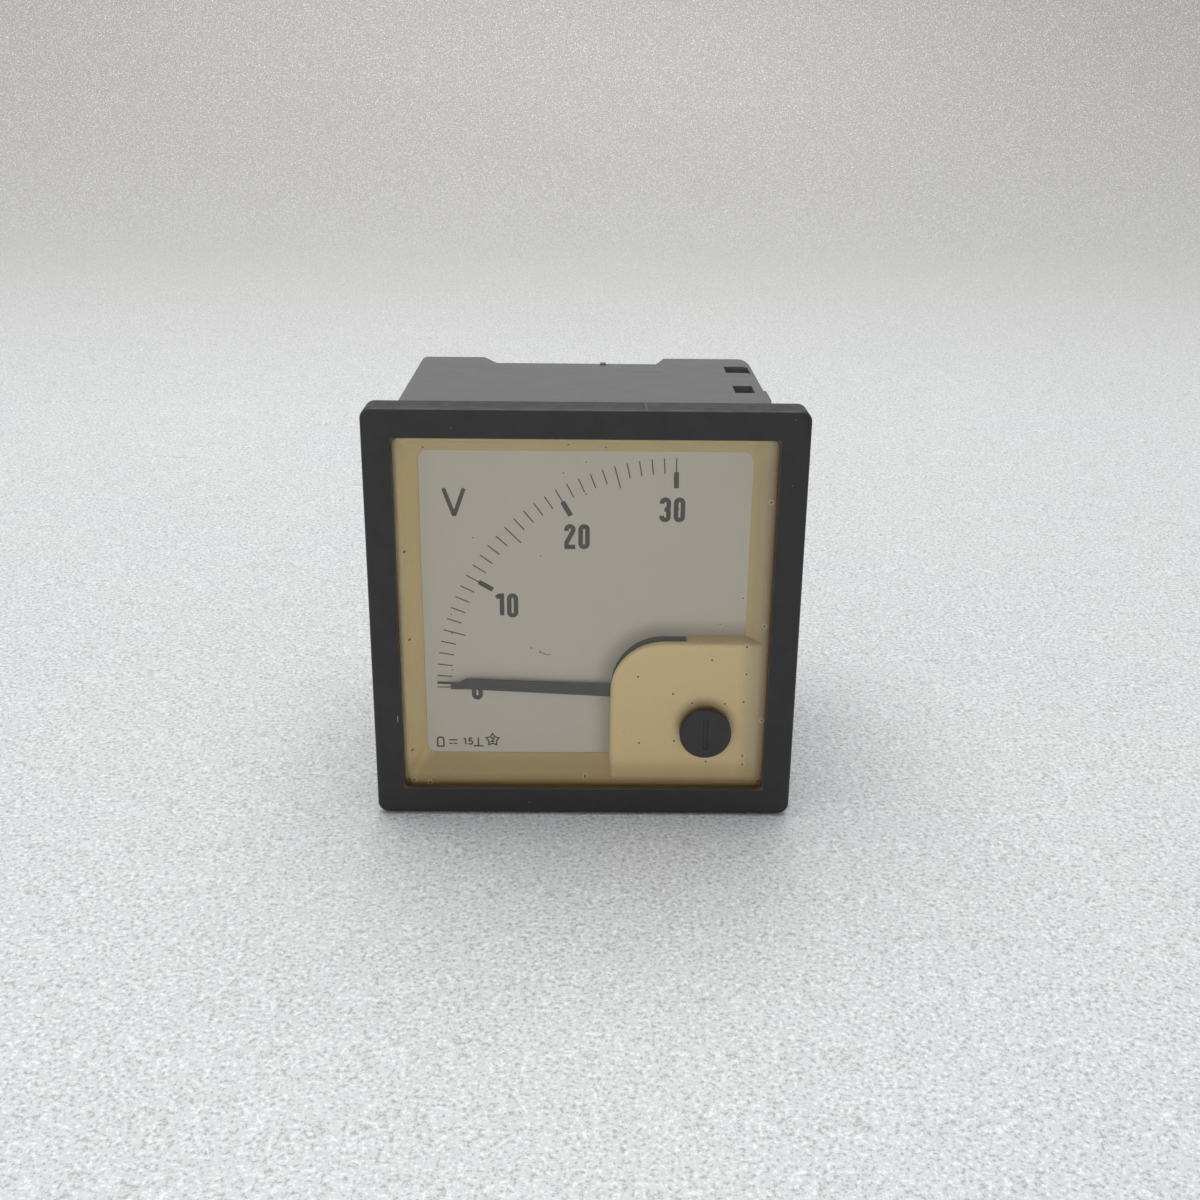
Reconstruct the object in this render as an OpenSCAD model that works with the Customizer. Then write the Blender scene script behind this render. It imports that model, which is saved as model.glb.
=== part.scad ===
// Analog panel meter: a square moving-coil voltmeter with a 90 degree scale.
// Frame: X to the right and Z up as the dial is read, Y into the panel.
// The origin is the middle of the plane where the front frame seats on the panel.

/* [Front frame] */
// Width and height of the front frame
frame_w = 72; // [66:0.5:96]
// Depth of the front frame, from its face to the panel
frame_depth = 6; // [5.5:0.25:8]
// Width of the bars round the window opening
frame_bar = 4.8; // [4.2:0.1:6]
// Thickness of the lip in front of the window
frame_lip = 1.3; // [1.25:0.05:1.8]
// Radius of the frame's outer corners
frame_corner_r = 1.8; // [0.8:0.1:3]
// Radius of the window opening's corners
opening_corner_r = 1.3; // [0.6:0.1:2.5]
// Rounding of the frame's front edges
frame_edge_r = 0.6; // [0.3:0.1:1]
// Length of the catch ridges that hold the frame on the housing
catch_len = 18; // [8:1:30]
// Height of the catch ridges
catch_h = 0.4; // [0.2:0.05:0.6]
// Width of the catch ridges along the depth
catch_w = 0.9; // [0.6:0.1:1.2]

/* [Window] */
// Thickness of the clear window
window_t = 1.6; // [1.2:0.1:2]

/* [Housing] */
// How far the frame laps the panel on each side of the housing
panel_lap = 3; // [2.4:0.1:4]
// Depth of the housing behind the panel, to its rear pads
body_depth = 54.5; // [48:0.5:70]
// Wall thickness of the housing
wall = 1.8; // [1.4:0.1:2.2]
// Depth of the terminal recess between the rear pads
rear_recess = 6; // [4:0.5:8]
// Distance from the middle to the rear pads at the clamp corners
clamp_pad_start = 13.5; // [10:0.5:18]
// Distance from the middle to the other two rear pads
plain_pad_start = 17.5; // [14:0.5:22]
// Run of the sloping side of a clamp corner pad
clamp_pad_slope = 1.8; // [0.5:0.1:4]
// Run of the sloping side of a plain pad
plain_pad_slope = 2.8; // [0.5:0.1:4]
// Corner radius of the housing at the clamp corners
clamp_corner_r = 3; // [2:0.25:4]
// Corner radius of the housing at the other corners
plain_corner_r = 1.5; // [0.8:0.1:3]
// Width of the ribs that the dial plate rests on
rib_w = 6; // [3:0.5:10]
// How far the dial ribs stand in from the wall
rib_h = 1.5; // [1:0.1:2]
// Distance from the middle of a wall to its dial rib
rib_shift = 12; // [6:0.5:14]

/* [Clamp channels] */
// Width and height of a clamp channel
channel_w = 4.7; // [4.4:0.1:5]
// Distance from the panel to the front end of a clamp channel
channel_start = 22.2; // [21.5:0.1:24]
// Length of a clamp slot along the housing
slot_len = 6.2; // [5:0.1:7]
// Distance from the panel to the rear slot of a channel
rear_slot_start = 40.5; // [36:0.5:41]
// Width of the front slot of a channel
front_slot_w = 3.5; // [3:0.1:4]
// Distance from the panel to the guide lug beside a channel
lug_start = 27; // [24:0.5:30]
// Length of the guide lug
lug_len = 11.6; // [8:0.2:14]
// Height of the guide lug
lug_h = 1; // [0.6:0.1:1.2]
// Width of the guide lug
lug_w = 2.6; // [1.5:0.1:4]

/* [Scale surround] */
// Clearance between the surround and the housing wall
surround_gap = 0.2; // [0.1:0.05:0.4]
// Width of the surround's flat rim
rim_w = 0.8; // [0.5:0.1:1.2]
// Width of the surround's sloping sides
slope_w = 2.5; // [1.5:0.1:3]
// Corner radius of the dial window in the surround
window_corner_r = 1.6; // [0.8:0.1:3]
// Wall thickness of the movement cover
cover_t = 1; // [0.8:0.05:1.1]
// Distance from the pivot to the cover's left side
cover_left = 11.2; // [10.8:0.1:12]
// Distance from the pivot up to the cover's top side
cover_top = 9.8; // [9.7:0.1:10.5]
// Radius of the cover's top left corner
cover_corner_r = 7.3; // [5:0.1:9]
// Rounding of the cover's front edge
cover_edge_r = 0.9; // [0.4:0.1:1.2]
// Clearance round the pointer at the ends of its slot
slot_end_gap = 0.4; // [0.3:0.05:0.8]

/* [Dial] */
// Distance from the frame's face back to the dial
dial_setback = 7; // [6.8:0.1:7.4]
// Thickness of the dial plate
dial_t = 0.8; // [0.5:0.1:1]
// Clearance between the dial plate and the housing
dial_gap = 0.4; // [0.2:0.1:0.8]
// Radius of the movement's opening in the dial plate
dial_hole_r = 8.8; // [8.7:0.05:8.9]
// Distance from the scale's arc to the left edge of the dial's window
scale_margin = 2; // [1.7:0.1:3.5]
// Number of scale divisions
scale_steps = 30; // [10:1:60]
// Divisions between numbered marks
steps_per_number = 10; // [5:1:10]
// Angle of the whole scale
scale_angle = 90; // [80:1:90]
// Length of a short mark
short_mark = 2.6; // [1:0.1:3]
// Length of a middle mark
middle_mark = 3.9; // [2:0.1:5]
// Length of the thin part of a numbered mark
numbered_mark = 2.4; // [1:0.1:3]
// Length of the bold bar of a numbered mark
bold_mark = 2.8; // [1:0.1:4]
// Width of the thin marks
mark_w = 0.2; // [0.1:0.05:0.4]
// Width of the bold bars
bold_w = 0.84; // [0.4:0.02:1.2]
// Thickness of the printed ink
ink_t = 0.04; // [0.02:0.01:0.08]

/* [Movement] */
// Clearance between the yoke ring and the housing's side wall
yoke_side_gap = 0.5; // [0.3:0.1:1.2]
// Clearance between the yoke ring and the housing's bottom wall
yoke_floor_gap = 1.2; // [0.5:0.1:1.8]
// Radius of the magnet core
core_r = 7.4; // [6.8:0.1:7.6]
// Width of the air gap between core and yoke
air_gap = 2.4; // [2.2:0.1:2.5]
// Wall of the yoke ring
yoke_wall = 5.2; // [5:0.1:5.3]
// Length of the core and the yoke ring
core_len = 12; // [10:0.5:14]
// Distance from the dial's face back to the yoke ring
yoke_setback = 5; // [4.5:0.1:6]
// Angle that a core spacer covers
spacer_angle = 40; // [30:1:44]
// Clearance from the coil frame to the core and to the yoke
coil_gap = 0.5; // [0.4:0.05:0.6]
// Width of the coil frame across the gap's direction
coil_w = 3.6; // [3:0.1:3.8]
// Thickness of the coil frame's ends
coil_end_t = 1.1; // [0.9:0.1:1.3]
// Free length between the core's face and the coil frame's end
coil_end_gap = 1.1; // [0.8:0.1:1.2]
// Depth of the winding in the coil frame
winding_depth = 0.7; // [0.5:0.05:0.8]
// Thickness of the movement base
base_t = 2; // [1.5:0.1:3]
// Radius of the base's fixing ears
ear_r = 3.2; // [3:0.1:3.5]
// Distance from the pivot to the two outer fixing screws
ear_reach = 19; // [18.8:0.1:20]
// Distance from the pivot to the corner fixing screw
corner_ear_reach = 18.2; // [18:0.1:18.4]
// Radius of the fixing screws
base_screw_r = 1.25; // [1:0.05:1.5]
// Length of the fixing screws in the bosses
base_screw_len = 8; // [5:0.5:12]

/* [Pivots and springs] */
// Radius of a pivot's stem
stem_r = 0.5; // [0.4:0.05:0.6]
// Radius of a pivot's tip
tip_r = 0.2; // [0.15:0.01:0.25]
// Running clearance of the tip in its jewel
tip_gap = 0.05; // [0.03:0.01:0.09]
// Radius of the jewel screws
jewel_screw_r = 1.1; // [0.9:0.05:1.3]
// Thickness of the bridges
bridge_t = 1; // [0.8:0.05:1.1]
// Distance from the pivot to the front bridge's posts
post_reach = 11; // [10.9:0.05:11.2]
// Radius of the front bridge's posts
post_r = 1.5; // [1.2:0.1:1.6]
// Radius of the bridge screws
bridge_screw_r = 0.75; // [0.6:0.05:0.9]
// Distance from the pivot to the rear bridge's screws
rear_bridge_reach = 12.2; // [12:0.1:12.5]
// Width of the rear bridge
rear_bridge_w = 5; // [4:0.1:6]
// Outer radius of a hairspring
spring_r = 3.6; // [3:0.1:3.7]
// Turns of a hairspring
spring_turns = 4.5; // [3:0.5:6]
// Thickness of the hairspring's strip
spring_t = 0.12; // [0.08:0.01:0.2]
// Width of the hairspring's strip
spring_w = 0.4; // [0.2:0.05:0.5]

/* [Pointer] */
// Width of the pointer's bar
pointer_w = 1.95; // [1.2:0.05:2.1]
// Thickness of the pointer's sheet
pointer_t = 0.3; // [0.2:0.05:0.4]
// Distance from the dial's face forward to the pointer
pointer_lift = 1.5; // [1.3:0.05:1.7]
// How far the pointer's tip stops short of the scale's arc
tip_margin = 0.2; // [0:0.1:1.5]
// Length of the pointer's knife tip, beyond the step
knife_len = 2.3; // [1.5:0.1:6]
// Length of the half-width step, beyond the wide bar
step_len = 3.3; // [2:0.1:8]
// Width of the pointer's knife tip
knife_w = 0.34; // [0.2:0.02:0.5]
// Angle between the scale's zero and the pointer at rest
rest_angle = 1.2; // [0:0.1:2]
// Distance from the pivot to the foot of the pointer's crank
crank_start = 4.5; // [4.4:0.05:4.8]
// Distance from the pivot to the top of the pointer's crank
crank_end = 7.8; // [7.5:0.1:8]
// Radius of the tail weight
tail_weight_r = 1.6; // [1.2:0.05:1.7]
// Length of the tail weight
tail_weight_len = 3.4; // [2.5:0.05:3.6]
// Distance from the pivot to the middle of the tail weight
tail_weight_reach = 6.7; // [6.4:0.05:6.8]

/* [Zero adjuster] */
// Distance from the pivot right to the zero screw
zero_dx = 5.2; // [5:0.1:5.4]
// Distance from the pivot down to the zero screw
zero_dz = 5.6; // [5.4:0.1:5.8]
// Radius of the zero screw's head
zero_head_r = 4.6; // [3.5:0.1:4.8]
// Thickness of the zero screw's head
zero_head_t = 1.15; // [0.9:0.05:1.2]
// Radius of the zero screw's stem
zero_stem_r = 2.4; // [2:0.1:2.6]
// Running clearance of the stem in the window
zero_stem_gap = 0.05; // [0.02:0.01:0.09]
// Offset of the zero screw's pin from its axis
pin_offset = 1; // [0.8:0.05:1.1]
// Radius of the zero screw's pin
pin_r = 0.5; // [0.4:0.02:0.55]
// Clearance of the pin in the lever's fork
fork_gap = 0.12; // [0.1:0.01:0.16]
// Thickness of the zero lever
lever_t = 0.45; // [0.35:0.05:0.5]
// Width of the screwdriver slot in the head
driver_slot_w = 0.8; // [0.5:0.05:1.2]
// Depth of the screwdriver slot in the head
driver_slot_d = 0.55; // [0.3:0.05:0.7]

/* [Terminals] */
// Distance between the two terminal studs
stud_pitch = 24; // [22:0.5:26]
// Radius of a terminal stud's free end
stud_r = 2; // [1.75:0.25:2.25]
// Length of a terminal stud's free end
stud_free = 9; // [6:0.5:12]
// Radius of a stud's thicker root, which passes through the housing and its nut
stud_root_r = 2.5; // [2.4:0.1:2.8]
// Width across the flats of the hexagons
hex_af = 8; // [7.5:0.5:8.5]
// Thickness of a terminal nut
nut_t = 3.2; // [2.5:0.1:4]
// Thickness of a terminal washer
washer_t = 0.8; // [0.5:0.1:1]
// Outer radius of a terminal washer
washer_r = 4.5; // [4:0.1:5]
// Thickness of the studs' inner heads
stud_head_t = 2.5; // [2:0.1:3.5]
// Thickness of a solder lug
lug_t = 0.5; // [0.3:0.05:0.8]
// Distance from the stud to a solder lug's eye
lug_reach = 8.5; // [7.5:0.5:10]
// Radius of the multiplier resistor
resistor_r = 2.2; // [1.5:0.1:2.8]
// Length of the multiplier resistor
resistor_len = 10; // [8:0.5:14]
// Radius of the connecting wires
wire_r = 0.6; // [0.4:0.05:0.8]

/* [Hidden] */
$fn = 48;
past = 1;                 // how far a cut runs past the face it opens
tiny = 0.01;              // thickness of a slice in a blended shape

window_fit = 0.1;         // clearance round the window and behind it
running_gap = 0.05;       // clearance between two faces that slide past each other
pin_gap = 0.3;            // clearance between a spring and the stop beside it
screw_slot_w = 0.5;       // width of the slots in small screw heads

// Depths, from the frame's face to the housing's rear
face_y = -frame_depth;
window_front_y = face_y + frame_lip;
window_back_y = window_front_y + window_t;
mouth_y = window_back_y + window_fit;
dial_y = face_y + dial_setback;
dial_back_y = dial_y + dial_t;
cover_back_y = mouth_y + cover_t;
recess_y = body_depth - rear_recess;
rear_wall_y = recess_y - wall;

// Half widths of the parts that sit inside one another
body_w = frame_w - 2 * panel_lap;
opening_half = frame_w / 2 - frame_bar;
inner_half = body_w / 2 - wall;
surround_half = inner_half - surround_gap;
rim_half = surround_half - rim_w;
window_half = rim_half - slope_w;
frame_fit = 0.1;          // clearance between the frame's pocket and the housing
catch_room = 0.2;         // room for the catch ridges in the frame's grooves

// Clamp channels
channel_end = inner_half;
channel_x = channel_end - channel_w;
channel_wall = 1.5;
edge_nib = [1.1, 1.4, 0.3];
edge_nib_x = 2.6;

// Movement, measured from the pivot
winding_room = 0.1;
yoke_in = core_r + air_gap;
yoke_out = yoke_in + yoke_wall;
pivot_x = inner_half - yoke_side_gap - yoke_out;
pivot_z = -(inner_half - yoke_floor_gap - yoke_out);
yoke_y = dial_y + yoke_setback;
yoke_back_y = yoke_y + core_len;
coil_in = core_r + coil_gap;
coil_out = yoke_in - coil_gap - winding_room;
coil_front_in = yoke_y - coil_end_gap;
coil_front = coil_front_in - coil_end_t;
coil_back_in = yoke_back_y + coil_end_gap;
coil_back = coil_back_in + coil_end_t;
coil_flange = 0.5;
base_back_y = yoke_back_y + base_t;
zero_direction = atan2(-zero_dz, zero_dx);
mid_direction = 180 - scale_angle / 2;
spacer_setback = 1;
base_bore_gap = 0.4;

// Pointer and its crank
scale_r = pivot_x + window_half - scale_margin;
tip_reach = scale_r - tip_margin;
step_reach = tip_reach - knife_len;
bar_reach = step_reach - step_len;
pointer_direction = 180 - rest_angle;
pointer_y = dial_y - pointer_lift;
hub_setback = 1;
hub_back_y = coil_front - hub_setback;
hub_t = 0.7;
hub_front_y = hub_back_y - hub_t;
hub_r = 1.9;
pointer_overtravel = 1.7;
pointer_undertravel = 4;
shoulder_run = 1.7;

// Pivots, jewels and bridges
pivot_base_r = 1.6;
pivot_base_t = 0.5;
tip_len = 0.7;
tip_in = 0.5;
shoulder_gap = 0.1;
front_bridge_gap = 0.4;
front_jewel_proud = 0.4;
rear_jewel_proud = 0.8;
rear_spring_room = 2.7;
front_bridge_back_y = dial_y - front_bridge_gap;
front_bridge_y = front_bridge_back_y - bridge_t;
front_jewel_y = front_bridge_back_y + front_jewel_proud;
rear_bridge_y = coil_back + rear_spring_room;
rear_bridge_back_y = rear_bridge_y + bridge_t;
rear_jewel_y = rear_bridge_y - rear_jewel_proud;
jewel_af = 3.6;
front_nut_t = 0.45;
rear_nut_t = 0.8;
lever_y = front_bridge_y - 2 * running_gap - lever_t;
front_nut_y = lever_y - running_gap - front_nut_t;
front_jewel_gap = 0.25;
rear_head_t = 1.3;
rear_head_r = 1.8;
front_jewel_front_y = cover_back_y + front_jewel_gap;
rear_jewel_back_y = rear_bridge_back_y + rear_head_t;
front_bridge_r = 3.2;
front_post_angles = [-15, -75];
post_pad_r = 1.9;
rear_bridge_angle = 45;
rear_screw_r = 1;
rear_leg_r = 2;
dial_screw_places = [[-7.4, -9.3], [9.6, 6.8]];
dial_screw_head_r = 1.6;
dial_screw_r = 1;
screw_end_gap = 1;
pillar_r = 1.8;
spring_start_r = stem_r + spring_t / 2 + tiny;
front_spring_y = front_jewel_y + pin_gap;
rear_spring_y = rear_jewel_y - pin_gap - spring_w;
spring_step = 15;
spring_end_angle = 225;
spring_gap = 0.15;

// Ears of the movement base, as direction and reach from the pivot
ears = [[75, ear_reach], [180, ear_reach], [-45, corner_ear_reach]];
ear_hole_gap = 0.2;
ear_wall_gap = 0.1;
base_head_r = 2.4;
base_head_t = 1.6;
bridge_screw_depth = 3;
small_head_t = 0.8;

// Balance arms
arm_w = 0.7;
arm_t = 0.3;
arm_gap = 0.1;
arm_hub_r = 1.3;
arm_y = hub_back_y + arm_gap;
side_arm_len = 6;
side_weight_r = 0.65;
side_weight_len = 1.4;
side_weight_reach = 4.8;
tail_arm_len = tail_weight_reach + tail_weight_len / 2;

// Zero adjuster
zero_head_back_y = window_front_y - running_gap;
clip_t = 0.4;
clip_w = 1;
clip_y = cover_back_y + running_gap;
zero_stem_back_y = clip_y + clip_t + running_gap;
pin_back_y = lever_y + lever_t + running_gap;
zero_hole_gap = 0.3;
fork_w = 3.2;
fork_root = 1;
fork_start = 6.9;
fork_end = 9.5;
lever_ring_r = 2.3;
lever_arm_w = 1.5;
lever_tab_gap = 0.35;
lever_tab_in = spring_r + lever_tab_gap;
lever_tab_t = 0.5;
lever_tab_root = 0.3;

// Terminals and wiring
lug_front_y = rear_wall_y - lug_t;
stud_head_y = lug_front_y - stud_head_t;
nut_back_y = recess_y + washer_t + nut_t;
resistor_stand = 7;
resistor_back_y = rear_wall_y - resistor_stand;
resistor_y = resistor_back_y - resistor_len;
lug_rim = 0.3;
lug_w_arm = 2.4;
lug_eye_r = 1.5;
lead_len = 3;
wire_leg = 6;
lead_r = 0.35;
tag_r = 0.5;
tag_reach = spring_r + spring_gap + spring_t + tag_r;
tag_proud = 2;
tag_back_y = rear_bridge_back_y + tag_proud;

// Plates and pins lie along Y
module plate(y0, y1) {
    translate([0, y1, 0]) rotate([90, 0, 0]) linear_extrude(y1 - y0) children();
}

module rod(y0, y1, r) {
    translate([0, y0, 0]) rotate([-90, 0, 0]) cylinder(h = y1 - y0, r = r);
}

module hexagon(y0, y1, flats) {
    translate([0, y0, 0]) rotate([-90, 0, 0]) cylinder(h = y1 - y0, r = flats / sqrt(3), $fn = 6);
}

module at_pivot() {
    translate([pivot_x, 0, pivot_z]) children();
}

// Moves a thing out from the pivot in a direction, which it then faces
module toward(direction, reach = 0) {
    at_pivot() rotate([0, -direction, 0]) translate([reach, 0, 0]) children();
}

module at_zero_screw() {
    toward(zero_direction, norm([zero_dx, zero_dz])) children();
}

module rounded_square(half, r) {
    offset(r = r) square(2 * (half - r), center = true);
}

// Front frame

module front_bezel() color([0.19, 0.18, 0.18]) difference() {
    hull() {
        plate(face_y, face_y + tiny) rounded_square(frame_w / 2 - frame_edge_r, frame_corner_r);
        plate(face_y + 0.3 * frame_edge_r, face_y + 0.3 * frame_edge_r + tiny)
            rounded_square(frame_w / 2 - 0.3 * frame_edge_r, frame_corner_r);
        plate(face_y + frame_edge_r, 0) rounded_square(frame_w / 2, frame_corner_r);
    }
    plate(face_y - past, past) rounded_square(opening_half, opening_corner_r);
    plate(window_front_y, past) rounded_square(body_w / 2 + frame_fit, plain_corner_r);
    for (side = [-1, 1])
        translate([side * (body_w / 2 + frame_fit), 0, 0]) catch_ridge(catch_h, catch_room);
}

// A ridge with sloping sides, along Z, that stands out to both sides of X = 0
module catch_ridge(height, room = 0) {
    half = catch_w / 2 + room;
    top = 0.4 * half;
    middle_y = mouth_y / 2;
    linear_extrude(catch_len + 2 * room, center = true) polygon([
        for (side = [1, -1]) each [
            [0, middle_y - side * half],
            [side * height, middle_y - side * top],
            [side * height, middle_y + side * top]
        ]
    ]);
}

module window_glass() color([0.85, 0.87, 0.85, 0.25]) difference() {
    plate(window_front_y, window_back_y)
        rounded_square(body_w / 2 + frame_fit - window_fit, plain_corner_r);
    at_zero_screw() rod(window_front_y - past, window_back_y + past, zero_stem_r + zero_stem_gap);
}

// Housing

module body_outline(inset) hull() {
    for (turn = [0, 180]) rotate(turn) {
        corner(1, clamp_corner_r, inset);
        corner(-1, plain_corner_r, inset);
    }
}

module corner(side, r, inset) {
    inner_r = max(r - inset, 0.3);
    reach = body_w / 2 - inset - inner_r;
    translate([side * reach, reach]) circle(inner_r, $fn = 32);
}

// Everything beyond a plane that slopes outwards from y0 to y1
module beyond_slope(start, run, y0, y1) {
    linear_extrude(2 * body_w, center = true) polygon([
        [start, y0 - past], [start, y0], [start + run, y1], [body_w, y1], [body_w, y0 - past]
    ]);
}

module rear_pad(start, run, y0, y1) {
    intersection() {
        beyond_slope(start, run, y0, y1);
        rotate([0, -90, 0]) beyond_slope(start, run, y0, y1);
    }
}

// The housing's outer form, or the form of its hollow when it is set in by the wall
module housing_form(front, inset) {
    y0 = recess_y - inset;
    y1 = body_depth - inset;
    intersection() {
        plate(front, y1) body_outline(inset);
        union() {
            translate([-body_w, front - past, -body_w]) cube([2 * body_w, y0 - front + past, 2 * body_w]);
            for (turn = [0, 180]) rotate([0, turn, 0]) {
                rear_pad(clamp_pad_start + inset, clamp_pad_slope, y0, y1);
                mirror([1, 0, 0]) rear_pad(plain_pad_start + inset, plain_pad_slope, y0, y1);
            }
        }
    }
}

// The square tube in a clamp corner, without its bore
module channel_tube() {
    side = body_w / 2 - channel_x + channel_wall;
    translate([channel_x - channel_wall, channel_start - channel_wall, channel_x - channel_wall])
        cube([side, body_depth - channel_start + channel_wall, side]);
}

module channel_cuts() {
    translate([channel_x, channel_start, channel_x])
        cube([channel_w, body_depth - channel_start + past, channel_w]);
    translate([channel_x, channel_start, channel_end - tiny])
        cube([front_slot_w, slot_len, wall + past]);
    translate([channel_x, rear_slot_start, channel_end - tiny])
        cube([channel_w, slot_len, wall + past]);
}

module guide_lug() {
    top = body_w / 2 - clamp_corner_r;
    translate([body_w / 2 - tiny, 0, top - lug_w]) linear_extrude(lug_w) polygon([
        [0, lug_start], [lug_h, lug_start + 0.25 * lug_len],
        [lug_h, lug_start + lug_len], [0, lug_start + lug_len]
    ]);
}

module dial_rib(turn, shift) {
    rotate([0, turn, 0]) translate([inner_half - rib_h, dial_back_y, shift - rib_w / 2])
        cube([rib_h + tiny, channel_start - channel_wall - dial_back_y, rib_w]);
}

module housing() color([0.22, 0.22, 0.23]) difference() {
    union() {
        difference() {
            housing_form(mouth_y, 0);
            housing_form(mouth_y - past, wall);
        }
        intersection() {
            housing_form(mouth_y, 0);
            union() {
                for (turn = [0, 180]) rotate([0, turn, 0]) channel_tube();
                for (ear = ears)
                    toward(ear[0], ear[1]) rod(base_back_y, body_depth, ear_r);
            }
        }
        for (turn = [0, 180]) rotate([0, turn, 0]) guide_lug();
        dial_rib(0, rib_shift);
        dial_rib(180, 0);
        dial_rib(-90, 0.2 * rib_shift);
        dial_rib(90, -rib_shift);
        for (side = [-1, 1]) translate([side * body_w / 2, 0, 0]) catch_ridge(catch_h);
        translate([edge_nib_x, recess_y - edge_nib[1], body_w / 2 - tiny]) cube(edge_nib);
    }
    for (turn = [0, 180]) rotate([0, turn, 0]) channel_cuts();
    for (ear = ears)
        toward(ear[0], ear[1]) rod(base_back_y - past, base_back_y + base_screw_len + past, base_screw_r);
    for (side = [-1, 1])
        translate([side * stud_pitch / 2, 0, 0]) rod(rear_wall_y - past, recess_y + past, stud_root_r);
}

// Scale surround: a tray round the dial, in one piece with the movement's cover

module cover_outline(inset) {
    left = pivot_x - cover_left + inset;
    top = pivot_z + cover_top - inset;
    r = cover_corner_r - inset;
    hull() {
        translate([left + r, top - r]) circle(r);
        translate([left, -body_w]) square([body_w - left, tiny]);
        translate([body_w, top - tiny]) square(tiny);
    }
}

module cover_solid() hull() {
    for (a = [0:22.5:90])
        plate(mouth_y + cover_edge_r * (1 - cos(a)), mouth_y + cover_edge_r * (1 - cos(a)) + tiny)
            cover_outline(cover_edge_r * (1 - sin(a)));
    plate(dial_y - tiny, dial_y) cover_outline(0);
}

module tray_funnel() hull() {
    plate(mouth_y - tiny, mouth_y) rounded_square(rim_half, window_corner_r);
    plate(dial_y, dial_y + tiny) rounded_square(window_half, window_corner_r);
}

// The arc that the pointer sweeps, cut through the cover's side walls
module pointer_slot() {
    low = pivot_z - cover_left * tan(pointer_undertravel - rest_angle) - pointer_w / 2 - slot_end_gap;
    right = pivot_x + cover_top * tan(pointer_overtravel) + pointer_w / 2 + slot_end_gap;
    left = pivot_x - cover_left - past;
    top = pivot_z + cover_top + past;
    plate(cover_back_y, dial_y + past) translate([left, low]) square([right - left, top - low]);
}

module cover_hollow() plate(cover_back_y, dial_y + past) intersection() {
    cover_outline(cover_t);
    square(2 * (surround_half - cover_t), center = true);
}

module scale_surround() color([0.68, 0.62, 0.46]) difference() {
    union() {
        difference() {
            plate(mouth_y, dial_y) rounded_square(surround_half, opening_corner_r);
            tray_funnel();
        }
        intersection() {
            plate(mouth_y, dial_y) rounded_square(surround_half, opening_corner_r);
            cover_solid();
        }
    }
    cover_hollow();
    pointer_slot();
    at_zero_screw() rod(mouth_y - past, dial_y, zero_stem_r + zero_hole_gap);
}

// Dial

module dial_plate() color([0.60, 0.58, 0.53]) difference() {
    plate(dial_y, dial_back_y) rounded_square(inner_half - dial_gap, opening_corner_r);
    at_pivot() rod(dial_y - past, dial_back_y + past, dial_hole_r);
    for (angle = front_post_angles) toward(angle, post_reach)
        rod(dial_y - past, dial_back_y + past, post_r + dial_gap);
    for (place = dial_screw_places) at_pivot() translate([place[0], 0, place[1]])
        rod(dial_y - past, dial_back_y + past, dial_screw_r);
}

module mark(angle, inner, outer, w) {
    toward(angle, 0) translate([inner, dial_y - ink_t, -w / 2]) cube([outer - inner, ink_t, w]);
}

module scale_print() color([0.22, 0.20, 0.17]) {
    for (i = [0:scale_steps]) {
        angle = 180 - i * scale_angle / scale_steps;
        numbered = i % steps_per_number == 0;
        middle = i % (steps_per_number / 2) == 0;
        thin = numbered ? numbered_mark : middle ? middle_mark : short_mark;
        mark(angle, scale_r - thin, scale_r, mark_w);
        if (numbered)
            mark(angle, scale_r - thin - bold_mark, scale_r - thin, bold_w);
    }
}

module slotted_head(y0, y1, r) {
    difference() {
        rod(y0, y1, r);
        translate([-r - past, y0 - past, -screw_slot_w / 2])
            cube([2 * (r + past), past + 0.5 * (y1 - y0), screw_slot_w]);
    }
}

module dial_screws() color([0.75, 0.70, 0.50]) {
    for (place = dial_screw_places) at_pivot() translate([place[0], 0, place[1]]) {
        slotted_head(dial_y - small_head_t, dial_y, dial_screw_head_r);
        rod(dial_y, yoke_y - screw_end_gap, dial_screw_r);
    }
}

module dial_pillars() color([0.75, 0.72, 0.66]) {
    for (place = dial_screw_places) at_pivot() translate([place[0], 0, place[1]]) difference() {
        rod(dial_back_y, yoke_y, pillar_r);
        rod(dial_back_y - past, yoke_y - screw_end_gap, dial_screw_r);
    }
}

// Zero adjuster

module zero_screw() color([0.15, 0.15, 0.16]) at_zero_screw() difference() {
    union() {
        rod(zero_head_back_y - zero_head_t, zero_head_back_y, zero_head_r);
        rod(zero_head_back_y, zero_stem_back_y, zero_stem_r);
        translate([pin_offset, 0, 0]) rod(zero_stem_back_y, pin_back_y, pin_r);
    }
    rotate([0, zero_direction, 0])
        translate([-driver_slot_w / 2, zero_head_back_y - zero_head_t - past, -0.62 * zero_head_r])
        cube([driver_slot_w, driver_slot_d + past, 2 * 0.62 * zero_head_r]);
}

module zero_screw_clip() color([0.70, 0.70, 0.72]) at_zero_screw() difference() {
    rod(clip_y, clip_y + clip_t, zero_stem_r + clip_w);
    rod(clip_y - past, clip_y + clip_t + past, zero_stem_r);
}

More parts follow.
